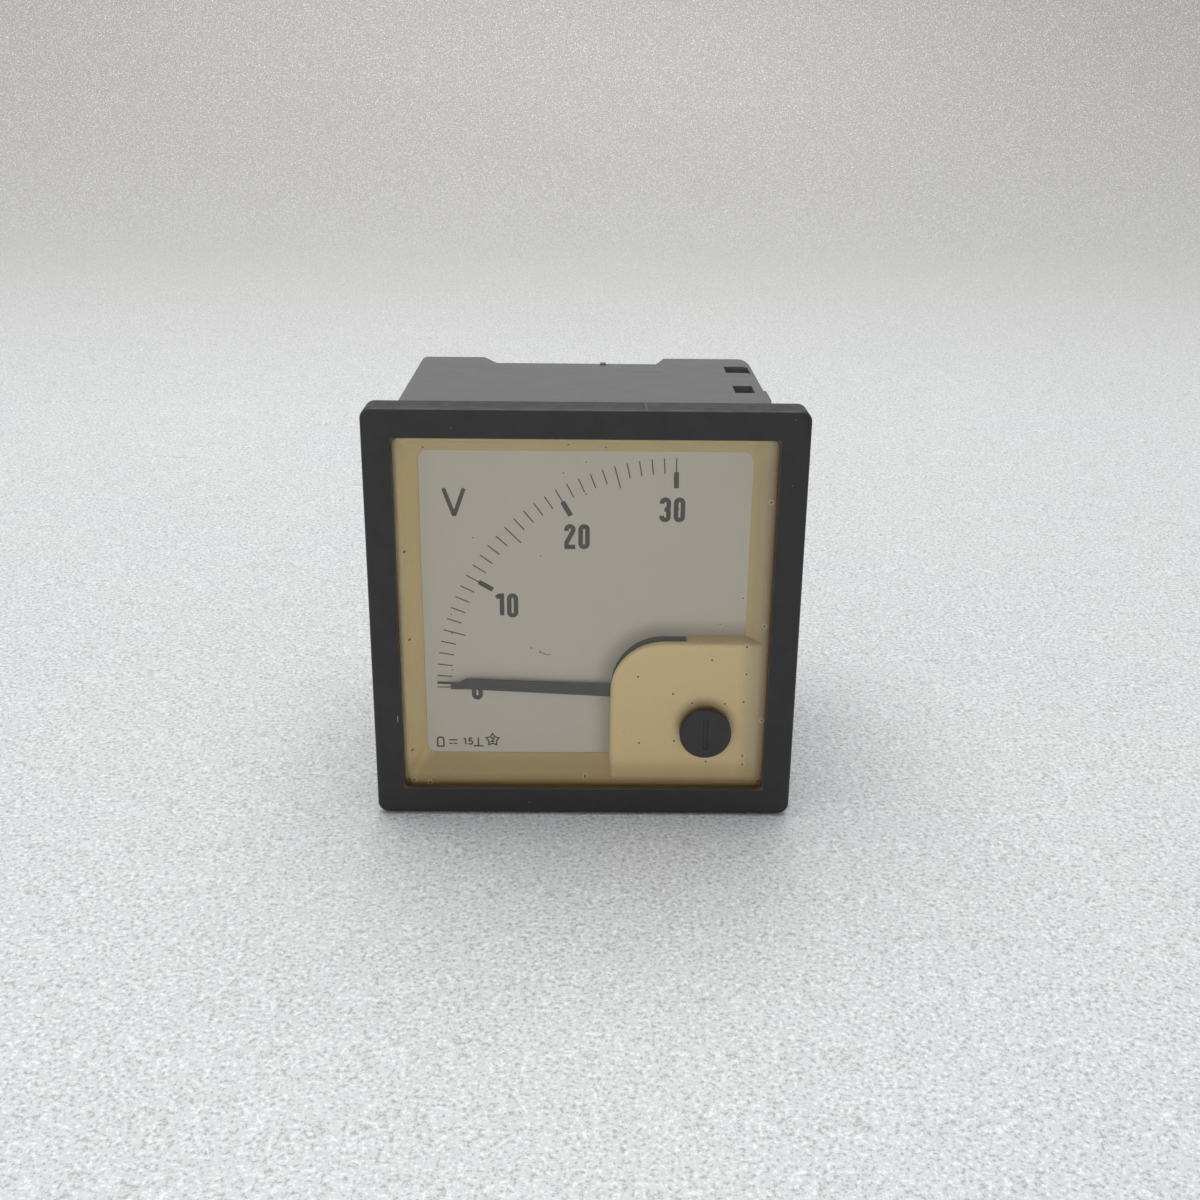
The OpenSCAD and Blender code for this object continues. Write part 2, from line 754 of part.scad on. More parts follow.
module zero_lever() color([0.72, 0.60, 0.35]) {
    toward(zero_direction) difference() {
        union() {
            rod(lever_y, lever_y + lever_t, lever_ring_r);
            translate([0, lever_y, -lever_arm_w / 2]) cube([fork_start, lever_t, lever_arm_w]);
            translate([fork_start - fork_root, lever_y, -fork_w / 2])
                cube([fork_end - fork_start + fork_root, lever_t, fork_w]);
        }
        rod(lever_y - past, lever_y + lever_t + past, jewel_screw_r + tip_gap);
        translate([fork_start, lever_y - past, -pin_r - fork_gap])
            cube([fork_end, lever_t + 2 * past, 2 * (pin_r + fork_gap)]);
    }
    toward(spring_end_angle) {
        translate([lever_ring_r - lever_tab_root, lever_y, -lever_tab_t])
            cube([lever_tab_in + lever_tab_t - lever_ring_r + lever_tab_root, lever_t, 2 * lever_tab_t]);
        translate([lever_tab_in, lever_y, -lever_tab_t])
            cube([lever_tab_t, front_spring_y + spring_w - lever_y, 2 * lever_tab_t]);
    }
}

// Pointer and balance

module pointer() color([0.26, 0.26, 0.27]) toward(pointer_direction) {
    difference() {
        rod(hub_front_y, hub_back_y, hub_r);
        rod(hub_front_y - past, hub_back_y + past, stem_r);
    }
    // Crank that brings the arm forward through the dial's opening
    translate([0, 0, -pointer_w / 2]) linear_extrude(pointer_w) polygon([
        [hub_r - pointer_t, hub_back_y - pointer_t], [crank_start, hub_back_y - pointer_t],
        [crank_end, pointer_y - pointer_t / 2], [crank_end + 1.5 * pointer_t, pointer_y - pointer_t / 2],
        [crank_end + 1.5 * pointer_t, pointer_y + pointer_t / 2],
        [crank_end + pointer_t / 2, pointer_y + pointer_t / 2],
        [crank_start + pointer_t / 2, hub_back_y], [hub_r - pointer_t, hub_back_y]
    ]);
    plate(pointer_y - pointer_t / 2, pointer_y + pointer_t / 2) polygon([
        [crank_end + pointer_t, pointer_w / 2], [step_reach, pointer_w / 2],
        [step_reach, knife_w / 2], [tip_reach, knife_w / 2],
        [tip_reach, -knife_w / 2], [bar_reach + shoulder_run, -knife_w / 2],
        [bar_reach, -pointer_w / 2], [crank_end + pointer_t, -pointer_w / 2]
    ]);
}

module balance_arm_bars(room = 0) {
    bar = arm_w + 2 * room;
    translate([-tail_arm_len, arm_y - room, -bar / 2]) cube([tail_arm_len, arm_t + 2 * room, bar]);
    translate([-bar / 2, arm_y - room, -side_arm_len]) cube([bar, arm_t + 2 * room, 2 * side_arm_len]);
}

module balance_arms() color([0.78, 0.76, 0.70]) toward(pointer_direction) difference() {
    union() {
        balance_arm_bars();
        rod(arm_y, arm_y + arm_t, arm_hub_r);
    }
    rod(arm_y - past, arm_y + arm_t + past, stem_r);
}

module balance_weights() color([0.80, 0.66, 0.35]) toward(pointer_direction) difference() {
    union() {
        translate([-tail_weight_reach - tail_weight_len / 2, arm_y + arm_t / 2, 0])
            rotate([0, 90, 0]) cylinder(h = tail_weight_len, r = tail_weight_r);
        for (side = [-1, 1])
            translate([0, arm_y + arm_t / 2, side * side_weight_reach - side_weight_len / 2])
                cylinder(h = side_weight_len, r = side_weight_r);
    }
    translate([-past, 0, 0]) balance_arm_bars();
    balance_arm_bars();
}

// Moving coil: its long sides run in the air gap, square to the pointer

module coil_loop(inner, outer, front_in, front_out, back_in, back_out, w) {
    translate([0, 0, -w / 2]) linear_extrude(w) difference() {
        translate([-outer, front_out]) square([2 * outer, back_out - front_out]);
        translate([-inner, front_in]) square([2 * inner, back_in - front_in]);
    }
}

module coil_former() color([0.78, 0.79, 0.80]) toward(pointer_direction + 90) difference() {
    coil_loop(coil_in, coil_out, coil_front_in, coil_front, coil_back_in, coil_back, coil_w);
    coil_loop(coil_out - winding_depth - winding_room, coil_out + past,
        coil_front + winding_depth + winding_room, coil_front - past,
        coil_back - winding_depth - winding_room, coil_back + past, coil_w - 2 * coil_flange);
}

module coil_winding() color([0.72, 0.42, 0.22]) toward(pointer_direction + 90)
    coil_loop(coil_out - winding_depth - winding_room, coil_out - winding_room,
        coil_front + winding_depth + winding_room, coil_front + winding_room,
        coil_back - winding_depth - winding_room, coil_back - winding_room, coil_w - 2 * coil_flange);

// A pivot with its base, its stem and its fine tip, from base_y towards tip_y
module front_pivot() color([0.55, 0.56, 0.58]) at_pivot() {
    rod(coil_front - pivot_base_t, coil_front, pivot_base_r);
    rod(front_jewel_y + shoulder_gap, coil_front - pivot_base_t + tiny, stem_r);
    rod(front_jewel_y - tip_in, front_jewel_y + shoulder_gap + tiny, tip_r);
}

module rear_pivot() color([0.55, 0.56, 0.58]) at_pivot() {
    rod(coil_back, coil_back + pivot_base_t, pivot_base_r);
    rod(coil_back + pivot_base_t - tiny, rear_jewel_y - shoulder_gap, stem_r);
    rod(rear_jewel_y - shoulder_gap - tiny, rear_jewel_y + tip_in, tip_r);
}

// Archimedean spiral strip that ends in the direction of its outer fixing
module hairspring(y) {
    sweep = 360 * spring_turns;
    edge = function(side) [
        for (a = [0:spring_step:sweep])
            let (r = spring_start_r + (spring_r - spring_start_r) * a / sweep + side * spring_t / 2,
                 d = spring_end_angle - sweep + a)
            [r * cos(d), r * sin(d)]
    ];
    inner = edge(-1);
    outer = edge(1);
    last = len(inner) - 1;
    at_pivot() plate(y, y + spring_w) polygon(concat(inner, [for (i = [last:-1:0]) outer[i]]));
}

module front_hairspring() color([0.70, 0.58, 0.36]) hairspring(front_spring_y);

module rear_hairspring() color([0.70, 0.58, 0.36]) hairspring(rear_spring_y);

// Jewel screws, their lock nuts and the bridges

module front_jewel_screw() color([0.78, 0.66, 0.38]) at_pivot() difference() {
    slotted_head(front_jewel_front_y, front_jewel_y, jewel_screw_r);
    rod(front_jewel_y - tip_len, front_jewel_y + past, tip_r + tip_gap);
}

module rear_jewel_screw() color([0.78, 0.66, 0.38]) at_pivot() difference() {
    rod(rear_jewel_y, rear_jewel_back_y, jewel_screw_r);
    rod(rear_jewel_y - past, rear_jewel_y + tip_len, tip_r + tip_gap);
    translate([-jewel_screw_r - past, rear_jewel_back_y - screw_slot_w, -screw_slot_w / 2])
        cube([2 * (jewel_screw_r + past), screw_slot_w + past, screw_slot_w]);
}

module jewel_lock_nuts() color([0.78, 0.66, 0.38]) at_pivot() difference() {
    union() {
        hexagon(front_nut_y, front_nut_y + front_nut_t, jewel_af);
        hexagon(rear_bridge_back_y, rear_bridge_back_y + rear_nut_t, jewel_af);
    }
    rod(front_nut_y - past, rear_bridge_back_y + rear_nut_t + past, jewel_screw_r);
}

module front_bridge() color([0.74, 0.62, 0.36]) difference() {
    plate(front_bridge_y, front_bridge_back_y) translate([pivot_x, pivot_z]) {
        for (angle = front_post_angles) hull() {
            circle(front_bridge_r);
            rotate(angle) translate([post_reach, 0]) circle(post_pad_r);
        }
    }
    at_pivot() rod(front_bridge_y - past, front_bridge_back_y + past, jewel_screw_r);
    for (angle = front_post_angles) toward(angle, post_reach)
        rod(front_bridge_y - past, front_bridge_back_y + past, bridge_screw_r);
}

module front_bridge_posts() color([0.74, 0.62, 0.36]) {
    for (angle = front_post_angles) toward(angle, post_reach) difference() {
        rod(front_bridge_back_y, yoke_y, post_r);
        rod(front_bridge_back_y - past, front_bridge_back_y + bridge_screw_depth, bridge_screw_r);
    }
}

module front_bridge_screws() color([0.74, 0.74, 0.72]) {
    for (angle = front_post_angles) toward(angle, post_reach) {
        slotted_head(front_bridge_y - small_head_t, front_bridge_y, 2 * bridge_screw_r);
        rod(front_bridge_y, front_bridge_back_y + bridge_screw_depth, bridge_screw_r);
    }
}

module rear_bridge() color([0.74, 0.62, 0.36]) difference() {
    toward(rear_bridge_angle) {
        reach = rear_bridge_reach + rear_leg_r;
        translate([-reach, rear_bridge_y, -rear_bridge_w / 2]) cube([2 * reach, bridge_t, rear_bridge_w]);
        for (side = [-1, 1])
            translate([side * rear_bridge_reach - rear_leg_r, base_back_y, -rear_bridge_w / 2])
                cube([2 * rear_leg_r, rear_bridge_y - base_back_y, rear_bridge_w]);
    }
    at_pivot() rod(rear_bridge_y - past, rear_bridge_back_y + past, jewel_screw_r);
    for (turn = [0, 180]) toward(rear_bridge_angle + turn, rear_bridge_reach)
        rod(base_back_y - past, rear_bridge_back_y + past, rear_screw_r);
    toward(spring_end_angle, tag_reach) rod(rear_bridge_y - past, rear_bridge_back_y + past, tag_r);
}

module rear_bridge_screws() color([0.74, 0.74, 0.72]) {
    for (turn = [0, 180]) toward(rear_bridge_angle + turn, rear_bridge_reach) {
        difference() {
            rod(rear_bridge_back_y, rear_bridge_back_y + rear_head_t, rear_head_r);
            translate([-rear_head_r - past, rear_bridge_back_y + 0.5 * rear_head_t, -screw_slot_w / 2])
                cube([2 * (rear_head_r + past), rear_head_t, screw_slot_w]);
        }
        rod(yoke_back_y - bridge_screw_depth, rear_bridge_back_y, rear_screw_r);
    }
}

module rear_spring_tag() color([0.80, 0.78, 0.72])
    toward(spring_end_angle, tag_reach) rod(rear_spring_y, tag_back_y, tag_r);

// Magnet system and its base

module magnet_core() color([0.42, 0.43, 0.45]) at_pivot() rod(yoke_y, yoke_back_y, core_r);

module yoke_ring() color([0.50, 0.51, 0.53]) difference() {
    at_pivot() rod(yoke_y, yoke_back_y, yoke_out);
    at_pivot() rod(yoke_y - past, yoke_back_y + past, yoke_in);
    for (turn = [0, 180]) toward(rear_bridge_angle + turn, rear_bridge_reach)
        rod(yoke_back_y - bridge_screw_depth, yoke_back_y + past, rear_screw_r);
}

module core_spacers() color([0.70, 0.68, 0.62]) {
    for (turn = [0, 180]) intersection() {
        at_pivot() difference() {
            rod(yoke_y + spacer_setback, yoke_back_y - spacer_setback, yoke_in);
            rod(yoke_y, yoke_back_y, core_r);
        }
        toward(mid_direction + turn) plate(yoke_y, yoke_back_y) polygon([
            [0, 0],
            2 * yoke_in * [cos(spacer_angle / 2), sin(spacer_angle / 2)],
            2 * yoke_in * [cos(spacer_angle / 2), -sin(spacer_angle / 2)]
        ]);
    }
}

module movement_base() color([0.66, 0.66, 0.64]) difference() {
    plate(yoke_back_y, base_back_y) translate([pivot_x, pivot_z]) {
        circle(yoke_out);
        for (ear = ears) hull() {
            circle(ear_r);
            rotate(ear[0]) translate([ear[1], 0]) circle(
                min(ear_r, inner_half - pivot_x - ear[1] * cos(ear[0]) - ear_wall_gap));
        }
    }
    at_pivot() rod(yoke_back_y - past, base_back_y + past, yoke_in + base_bore_gap);
    for (turn = [0, 180]) toward(rear_bridge_angle + turn, rear_bridge_reach)
        rod(yoke_back_y - past, base_back_y + past, rear_screw_r);
    for (ear = ears) toward(ear[0], ear[1])
        rod(yoke_back_y - past, base_back_y + past, base_screw_r + ear_hole_gap);
}

module base_screws() color([0.74, 0.74, 0.72]) {
    for (ear = ears) toward(ear[0], ear[1]) {
        slotted_head(yoke_back_y - base_head_t, yoke_back_y, base_head_r);
        rod(yoke_back_y, base_back_y + base_screw_len, base_screw_r);
    }
}

// Terminals and wiring

module at_studs() {
    for (side = [-1, 1]) translate([side * stud_pitch / 2, 0, 0]) children();
}

module terminal_studs() color([0.76, 0.66, 0.42]) at_studs() {
    hexagon(stud_head_y, lug_front_y, hex_af);
    rod(lug_front_y, nut_back_y, stud_root_r);
    rod(nut_back_y, nut_back_y + stud_free, stud_r);
}

module terminal_washers() color([0.76, 0.66, 0.42]) at_studs() difference() {
    rod(recess_y, recess_y + washer_t, washer_r);
    rod(recess_y - past, recess_y + washer_t + past, stud_root_r);
}

module terminal_nuts() color([0.76, 0.66, 0.42]) at_studs() difference() {
    hexagon(recess_y + washer_t, nut_back_y, hex_af);
    rod(recess_y, nut_back_y + past, stud_root_r);
}

module solder_lugs() color([0.80, 0.78, 0.72]) at_studs() plate(lug_front_y, rear_wall_y) difference() {
    union() {
        circle(hex_af / 2 + lug_rim);
        translate([-lug_w_arm / 2, 0]) square([lug_w_arm, lug_reach]);
        translate([0, lug_reach]) circle(lug_eye_r);
    }
    circle(stud_root_r);
    translate([0, lug_reach]) circle(lead_r);
}

module multiplier_resistor() color([0.55, 0.35, 0.22])
    translate([-stud_pitch / 2, 0, lug_reach]) {
        rod(resistor_y, resistor_back_y, resistor_r);
        rod(resistor_back_y - tiny, rear_wall_y, lead_r);
        rod(resistor_y - lead_len, resistor_y + tiny, lead_r);
    }

module wire_run(points) {
    for (i = [0:len(points) - 2]) {
        leg = points[i + 1] - points[i];
        translate(points[i]) {
            rotate([0, acos(leg[2] / norm(leg)), atan2(leg[1], leg[0])]) cylinder(h = norm(leg), r = wire_r);
            if (i > 0) sphere(1.05 * wire_r);
        }
    }
}

module connecting_wires() color([0.60, 0.12, 0.10]) {
    tag = [pivot_x + tag_reach * cos(spring_end_angle), tag_back_y,
        pivot_z + tag_reach * sin(spring_end_angle)];
    end = [pivot_x - wire_r, base_back_y, pivot_z + yoke_out - 2 * wire_r];
    wire_run([
        [-stud_pitch / 2, resistor_y - lead_len, lug_reach],
        [-stud_pitch / 2, resistor_y - lead_len - wire_leg / 2, lug_reach],
        tag + [-wire_leg, 2 / 3 * wire_leg, 2 / 3 * wire_leg], tag + [0, wire_leg / 2, 0], tag
    ]);
    wire_run([
        [stud_pitch / 2, lug_front_y, lug_reach], [stud_pitch / 2, lug_front_y - wire_leg, lug_reach],
        end + [-wire_leg / 6, wire_leg, wire_leg], end + [0, wire_leg / 3, 0], end
    ]);
}

front_bezel();
window_glass();
scale_surround();
dial_plate();
scale_print();
dial_screws();
dial_pillars();
housing();
zero_screw();
zero_screw_clip();
zero_lever();
pointer();
balance_arms();
balance_weights();
coil_former();
coil_winding();
front_pivot();
rear_pivot();
front_hairspring();
rear_hairspring();
front_jewel_screw();
rear_jewel_screw();
jewel_lock_nuts();
front_bridge();
front_bridge_posts();
front_bridge_screws();
rear_bridge();
rear_bridge_screws();
rear_spring_tag();
magnet_core();
yoke_ring();
core_spacers();
movement_base();
base_screws();
terminal_studs();
terminal_washers();
terminal_nuts();
solder_lugs();
multiplier_resistor();
connecting_wires();
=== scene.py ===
"""Finish and studio set for a square panel meter: a moving-coil voltmeter with a 90 degree scale.

Frame: X to the right and Z up as the dial is read, Y into the panel, in metres.
"""
import math

import bmesh
import bpy
from mathutils import Matrix, Vector


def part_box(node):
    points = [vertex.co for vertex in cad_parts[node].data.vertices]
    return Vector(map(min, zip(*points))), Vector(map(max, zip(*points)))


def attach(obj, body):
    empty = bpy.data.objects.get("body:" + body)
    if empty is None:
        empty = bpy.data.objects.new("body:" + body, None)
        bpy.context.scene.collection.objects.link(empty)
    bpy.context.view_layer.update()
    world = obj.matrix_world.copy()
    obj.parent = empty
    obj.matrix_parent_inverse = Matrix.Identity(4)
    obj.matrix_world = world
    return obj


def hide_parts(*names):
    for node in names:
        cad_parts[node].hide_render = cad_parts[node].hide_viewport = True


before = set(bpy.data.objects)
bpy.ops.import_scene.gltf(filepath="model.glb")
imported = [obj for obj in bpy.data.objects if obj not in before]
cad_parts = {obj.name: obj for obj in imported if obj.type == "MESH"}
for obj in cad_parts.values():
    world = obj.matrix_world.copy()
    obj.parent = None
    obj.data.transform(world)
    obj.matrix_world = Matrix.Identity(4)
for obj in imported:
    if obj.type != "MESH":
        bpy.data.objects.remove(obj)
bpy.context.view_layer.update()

MM = 0.001


# --- Sizes from the frame -------------------------------------------------------------

def size_of(node):
    low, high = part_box(node)
    return Vector(low), Vector(high)


BEZEL_LOW, BEZEL_HIGH = size_of("front_bezel")
HOUSING_LOW, HOUSING_HIGH = size_of("housing")
WINDOW_HIGH = size_of("window_glass")[1]
SURROUND_HIGH = size_of("scale_surround")[1]
ZERO_LOW, ZERO_HIGH = size_of("zero_screw")
STUD_LOW, STUD_HIGH = size_of("terminal_studs")

COVER_LEFT, COVER_TOP = 4.5, -5.2                        # the movement cover's sides, mm
CAST_CORNER_R, COVER_CORNER_R = 7.3, 9.1                 # its corner in the solid and as it is finished, mm
COVER_RAISE = 0.48                                       # its top side, finished above the solid's, mm
STUD_PITCH = 24.0                                        # distance between the terminal studs, mm
SLOT_RIGHT = 17.37                                       # right end of the pointer's slot, mm
PIVOT_X, PIVOT_Z = 15.7, -15.0                           # axis of the movement, mm
SHOULDER_SIDE = -1                                       # the side of the pointer that its shoulder is on
FACE_Y = BEZEL_LOW.y
DIAL_Y = size_of("dial_plate")[0].y
ZERO_X = (ZERO_LOW.x + ZERO_HIGH.x) / 2
ZERO_Z = (ZERO_LOW.z + ZERO_HIGH.z) / 2


# --- Node helpers ---------------------------------------------------------------------

class Shader:
    """A material's node tree, with short calls for the nodes that this meter's finishes use."""

    def __init__(self, name):
        self.material = bpy.data.materials.new(name)
        self.material.use_nodes = True
        self.tree = self.material.node_tree
        self.tree.nodes.clear()
        self.bsdf = self.tree.nodes.new("ShaderNodeBsdfPrincipled")
        self.output = self.tree.nodes.new("ShaderNodeOutputMaterial")
        self.tree.links.new(self.bsdf.outputs[0], self.output.inputs["Surface"])

    def link(self, source, target):
        self.tree.links.new(source, target)

    def put(self, socket, value):
        if isinstance(value, bpy.types.NodeSocket):
            self.link(value, socket)
        else:
            socket.default_value = value

    def node(self, kind, **settings):
        made = self.tree.nodes.new("ShaderNode" + kind)
        for key, value in settings.items():
            setattr(made, key, value)
        return made

    def coordinates(self):
        return self.node("TexCoord").outputs["Object"]

    def axes(self):
        split = self.node("SeparateXYZ")
        self.link(self.coordinates(), split.inputs[0])
        return split.outputs

    def math(self, operation, a, b=0.0, clamp=False):
        made = self.node("Math", operation=operation, use_clamp=clamp)
        self.put(made.inputs[0], a)
        self.put(made.inputs[1], b)
        return made.outputs[0]

    def ramp(self, value, low, high, out_low=0.0, out_high=1.0, smooth=True):
        made = self.node("MapRange", clamp=True)
        made.interpolation_type = "SMOOTHSTEP" if smooth else "LINEAR"
        self.put(made.inputs["Value"], value)
        made.inputs["From Min"].default_value = low
        made.inputs["From Max"].default_value = high
        made.inputs["To Min"].default_value = out_low
        made.inputs["To Max"].default_value = out_high
        return made.outputs["Result"]

    def noise(self, per_metre, detail=3.0, roughness=0.5, vector=None):
        made = self.node("TexNoise")
        self.put(made.inputs["Vector"], vector or self.coordinates())
        made.inputs["Scale"].default_value = per_metre
        made.inputs["Detail"].default_value = detail
        made.inputs["Roughness"].default_value = roughness
        return made.outputs["Fac"]

    def mix(self, fac, a, b):
        made = self.node("Mix", data_type="RGBA", clamp_factor=True)
        self.put(made.inputs["Factor"], fac)
        self.put(made.inputs[6], a)
        self.put(made.inputs[7], b)
        return made.outputs[2]

    def group(self, tree, **values):
        made = self.node("Group")
        made.node_tree = tree
        for key, value in values.items():
            self.put(made.inputs[key.replace("_", " ").capitalize()], value)
        return made.outputs

    def bump(self, height, distance, strength=1.0, normal=None):
        made = self.node("Bump")
        made.inputs["Strength"].default_value = strength
        made.inputs["Distance"].default_value = distance
        self.link(height, made.inputs["Height"])
        if normal is not None:
            self.link(normal, made.inputs["Normal"])
        return made.outputs["Normal"]

    def finish(self, colour=None, roughness=None, normal=None, **settings):
        if colour is not None:
            self.put(self.bsdf.inputs["Base Color"], colour)
        if roughness is not None:
            self.put(self.bsdf.inputs["Roughness"], roughness)
        if normal is not None:
            self.link(normal, self.bsdf.inputs["Normal"])
        for key, value in settings.items():
            self.bsdf.inputs[key.replace("_", " ")].default_value = value
        return self.material


def new_group(name, inputs, outputs):
    tree = bpy.data.node_groups.new(name, "ShaderNodeTree")
    for label, kind, value in inputs:
        socket = tree.interface.new_socket(label, in_out="INPUT", socket_type="NodeSocket" + kind)
        socket.default_value = value
    for label, kind in outputs:
        tree.interface.new_socket(label, in_out="OUTPUT", socket_type="NodeSocket" + kind)
    return tree, tree.nodes.new("NodeGroupInput").outputs, tree.nodes.new("NodeGroupOutput").inputs


def srgb(r, g, b):
    """Linear colour of a shade given from 0 to 255."""
    def one(value):
        value /= 255
        return value / 12.92 if value <= 0.04045 else ((value + 0.055) / 1.055) ** 2.4
    return (one(r), one(g), one(b), 1.0)


# --- Shared effects -------------------------------------------------------------------

def make_soft_edges():
    """A normal rounded over sharp edges, and a mask of those edges."""
    tree, given, wanted = new_group(
        "soft_edges", [("Radius", "Float", 0.3 * MM)], [("Normal", "Vector"), ("Edge", "Float")])
    bevel = tree.nodes.new("ShaderNodeBevel")
    bevel.samples = 4
    flat = tree.nodes.new("ShaderNodeNewGeometry")
    dot = tree.nodes.new("ShaderNodeVectorMath")
    dot.operation = "DOT_PRODUCT"
    spread = tree.nodes.new("ShaderNodeMapRange")
    spread.inputs["From Min"].default_value = 0.995
    spread.inputs["From Max"].default_value = 0.85
    tree.links.new(given["Radius"], bevel.inputs["Radius"])
    tree.links.new(bevel.outputs[0], dot.inputs[0])
    tree.links.new(flat.outputs["Normal"], dot.inputs[1])
    tree.links.new(dot.outputs["Value"], spread.inputs["Value"])
    tree.links.new(bevel.outputs[0], wanted["Normal"])
    tree.links.new(spread.outputs["Result"], wanted["Edge"])
    return tree


def make_specks():
    """Scattered dots of dust or dirt: their centres, and a pale ring round each."""
    tree, given, wanted = new_group(
        "specks", [("Scale", "Float", 400.0), ("Size", "Float", 0.1), ("Share", "Float", 0.2)],
        [("Speck", "Float"), ("Ring", "Float")])
    place = tree.nodes.new("ShaderNodeTexCoord")
    cells = tree.nodes.new("ShaderNodeTexVoronoi")
    cells.feature = "F1"
    cells.voronoi_dimensions = "2D"
    split = tree.nodes.new("ShaderNodeSeparateXYZ")
    flat = tree.nodes.new("ShaderNodeCombineXYZ")
    chance = tree.nodes.new("ShaderNodeSeparateColor")
    keep = tree.nodes.new("ShaderNodeMath")
    keep.operation = "LESS_THAN"
    near = tree.nodes.new("ShaderNodeMath")
    near.operation = "LESS_THAN"
    wide = tree.nodes.new("ShaderNodeMath")
    wide.operation = "MULTIPLY"
    wide.inputs[1].default_value = 2.4
    ring = tree.nodes.new("ShaderNodeMath")
    ring.operation = "LESS_THAN"
    both = tree.nodes.new("ShaderNodeMath")
    both.operation = "MULTIPLY"
    around = tree.nodes.new("ShaderNodeMath")
    around.operation = "MULTIPLY"
    tree.links.new(place.outputs["Object"], split.inputs[0])
    tree.links.new(split.outputs["X"], flat.inputs["X"])
    tree.links.new(split.outputs["Z"], flat.inputs["Y"])
    tree.links.new(flat.outputs[0], cells.inputs["Vector"])
    tree.links.new(given["Scale"], cells.inputs["Scale"])
    tree.links.new(cells.outputs["Color"], chance.inputs[0])
    tree.links.new(chance.outputs[0], keep.inputs[0])
    tree.links.new(given["Share"], keep.inputs[1])
    tree.links.new(cells.outputs["Distance"], near.inputs[0])
    tree.links.new(given["Size"], near.inputs[1])
    tree.links.new(given["Size"], wide.inputs[0])
    tree.links.new(cells.outputs["Distance"], ring.inputs[0])
    tree.links.new(wide.outputs[0], ring.inputs[1])
    tree.links.new(keep.outputs[0], both.inputs[0])
    tree.links.new(near.outputs[0], both.inputs[1])
    tree.links.new(keep.outputs[0], around.inputs[0])
    tree.links.new(ring.outputs[0], around.inputs[1])
    tree.links.new(both.outputs[0], wanted["Speck"])
    tree.links.new(around.outputs[0], wanted["Ring"])
    return tree


SOFT_EDGES = make_soft_edges()
SPECKS = make_specks()


# --- Materials ------------------------------------------------------------------------

def edge_distance(s, half):
    """Distance in from the square edge that lies half away from the middle."""
    x, _, z = s.axes()[:3]
    return s.math("SUBTRACT", half, s.math("MAXIMUM", s.math("ABSOLUTE", x), s.math("ABSOLUTE", z)))


def spot(s, first, second, place, half, axes=(0, 2)):
    """A soft mask of one mark: its middle and half size along two axes, in millimetres."""
    coordinates = s.axes()
    parts = []
    for axis, middle, reach in zip(axes, (first, second), half):
        away = s.math("DIVIDE", s.math("SUBTRACT", coordinates[axis], middle * MM), reach * MM)
        parts.append(s.math("MULTIPLY", away, away))
    return s.ramp(s.math("ADD", parts[0], parts[1]), 0.3, 1.0, place, 0.0)


def front_frame_plastic():
    s = Shader("front_frame_plastic")
    edge = s.group(SOFT_EDGES, radius=0.35 * MM)
    cloud = s.noise(60, 4.0)
    colour = s.mix(cloud, srgb(27, 26, 27), srgb(35, 33, 33))
    colour = s.mix(s.math("MULTIPLY", edge["Edge"], 0.3), colour, srgb(84, 79, 76))
    dust = s.group(SPECKS, scale=420.0, size=0.05, share=0.03)["Speck"]
    colour = s.mix(s.math("MULTIPLY", dust, 0.35), colour, srgb(150, 145, 138))
    colour = s.mix(spot(s, -31.9, -18.0, 0.7, (0.1, 0.8)), colour, srgb(168, 164, 158))
    wall = s.ramp(edge_distance(s, 31.32 * MM), 0.0, 0.1 * MM)
    colour = s.mix(s.math("MULTIPLY", wall, 0.6), colour, srgb(92, 70, 40))
    rough = s.ramp(s.noise(300, 4.0), 0.3, 0.7, 0.42, 0.56)
    normal = s.bump(s.noise(5200, 2.0), 0.012 * MM, 0.5, edge["Normal"])
    return s.finish(colour, rough, normal, Specular_IOR_Level=0.5)


def housing_plastic():
    s = Shader("housing_plastic")
    edge = s.group(SOFT_EDGES, radius=0.3 * MM)
    cloud = s.noise(45, 5.0, 0.6)
    colour = s.mix(cloud, srgb(94, 94, 96), srgb(103, 103, 104))
    colour = s.mix(s.math("MULTIPLY", edge["Edge"], 0.3), colour, srgb(112, 110, 108))
    # A darker patch painted on the housing's top, right of the middle and towards the rear.
    dark_patch = spot(s, 11.7, 40.8, 0.35, (3.4, 1.7), axes=(0, 1))
    colour = s.mix(s.math("MULTIPLY", dark_patch, s.noise(500, 3.0)), colour, srgb(50, 50, 50))
    rough = s.ramp(s.noise(150, 5.0, 0.6), 0.3, 0.7, 0.42, 0.5)
    normal = s.bump(s.noise(4200, 2.0), 0.014 * MM, 0.5, edge["Normal"])
    return s.finish(colour, rough, normal, Specular_IOR_Level=0.5)


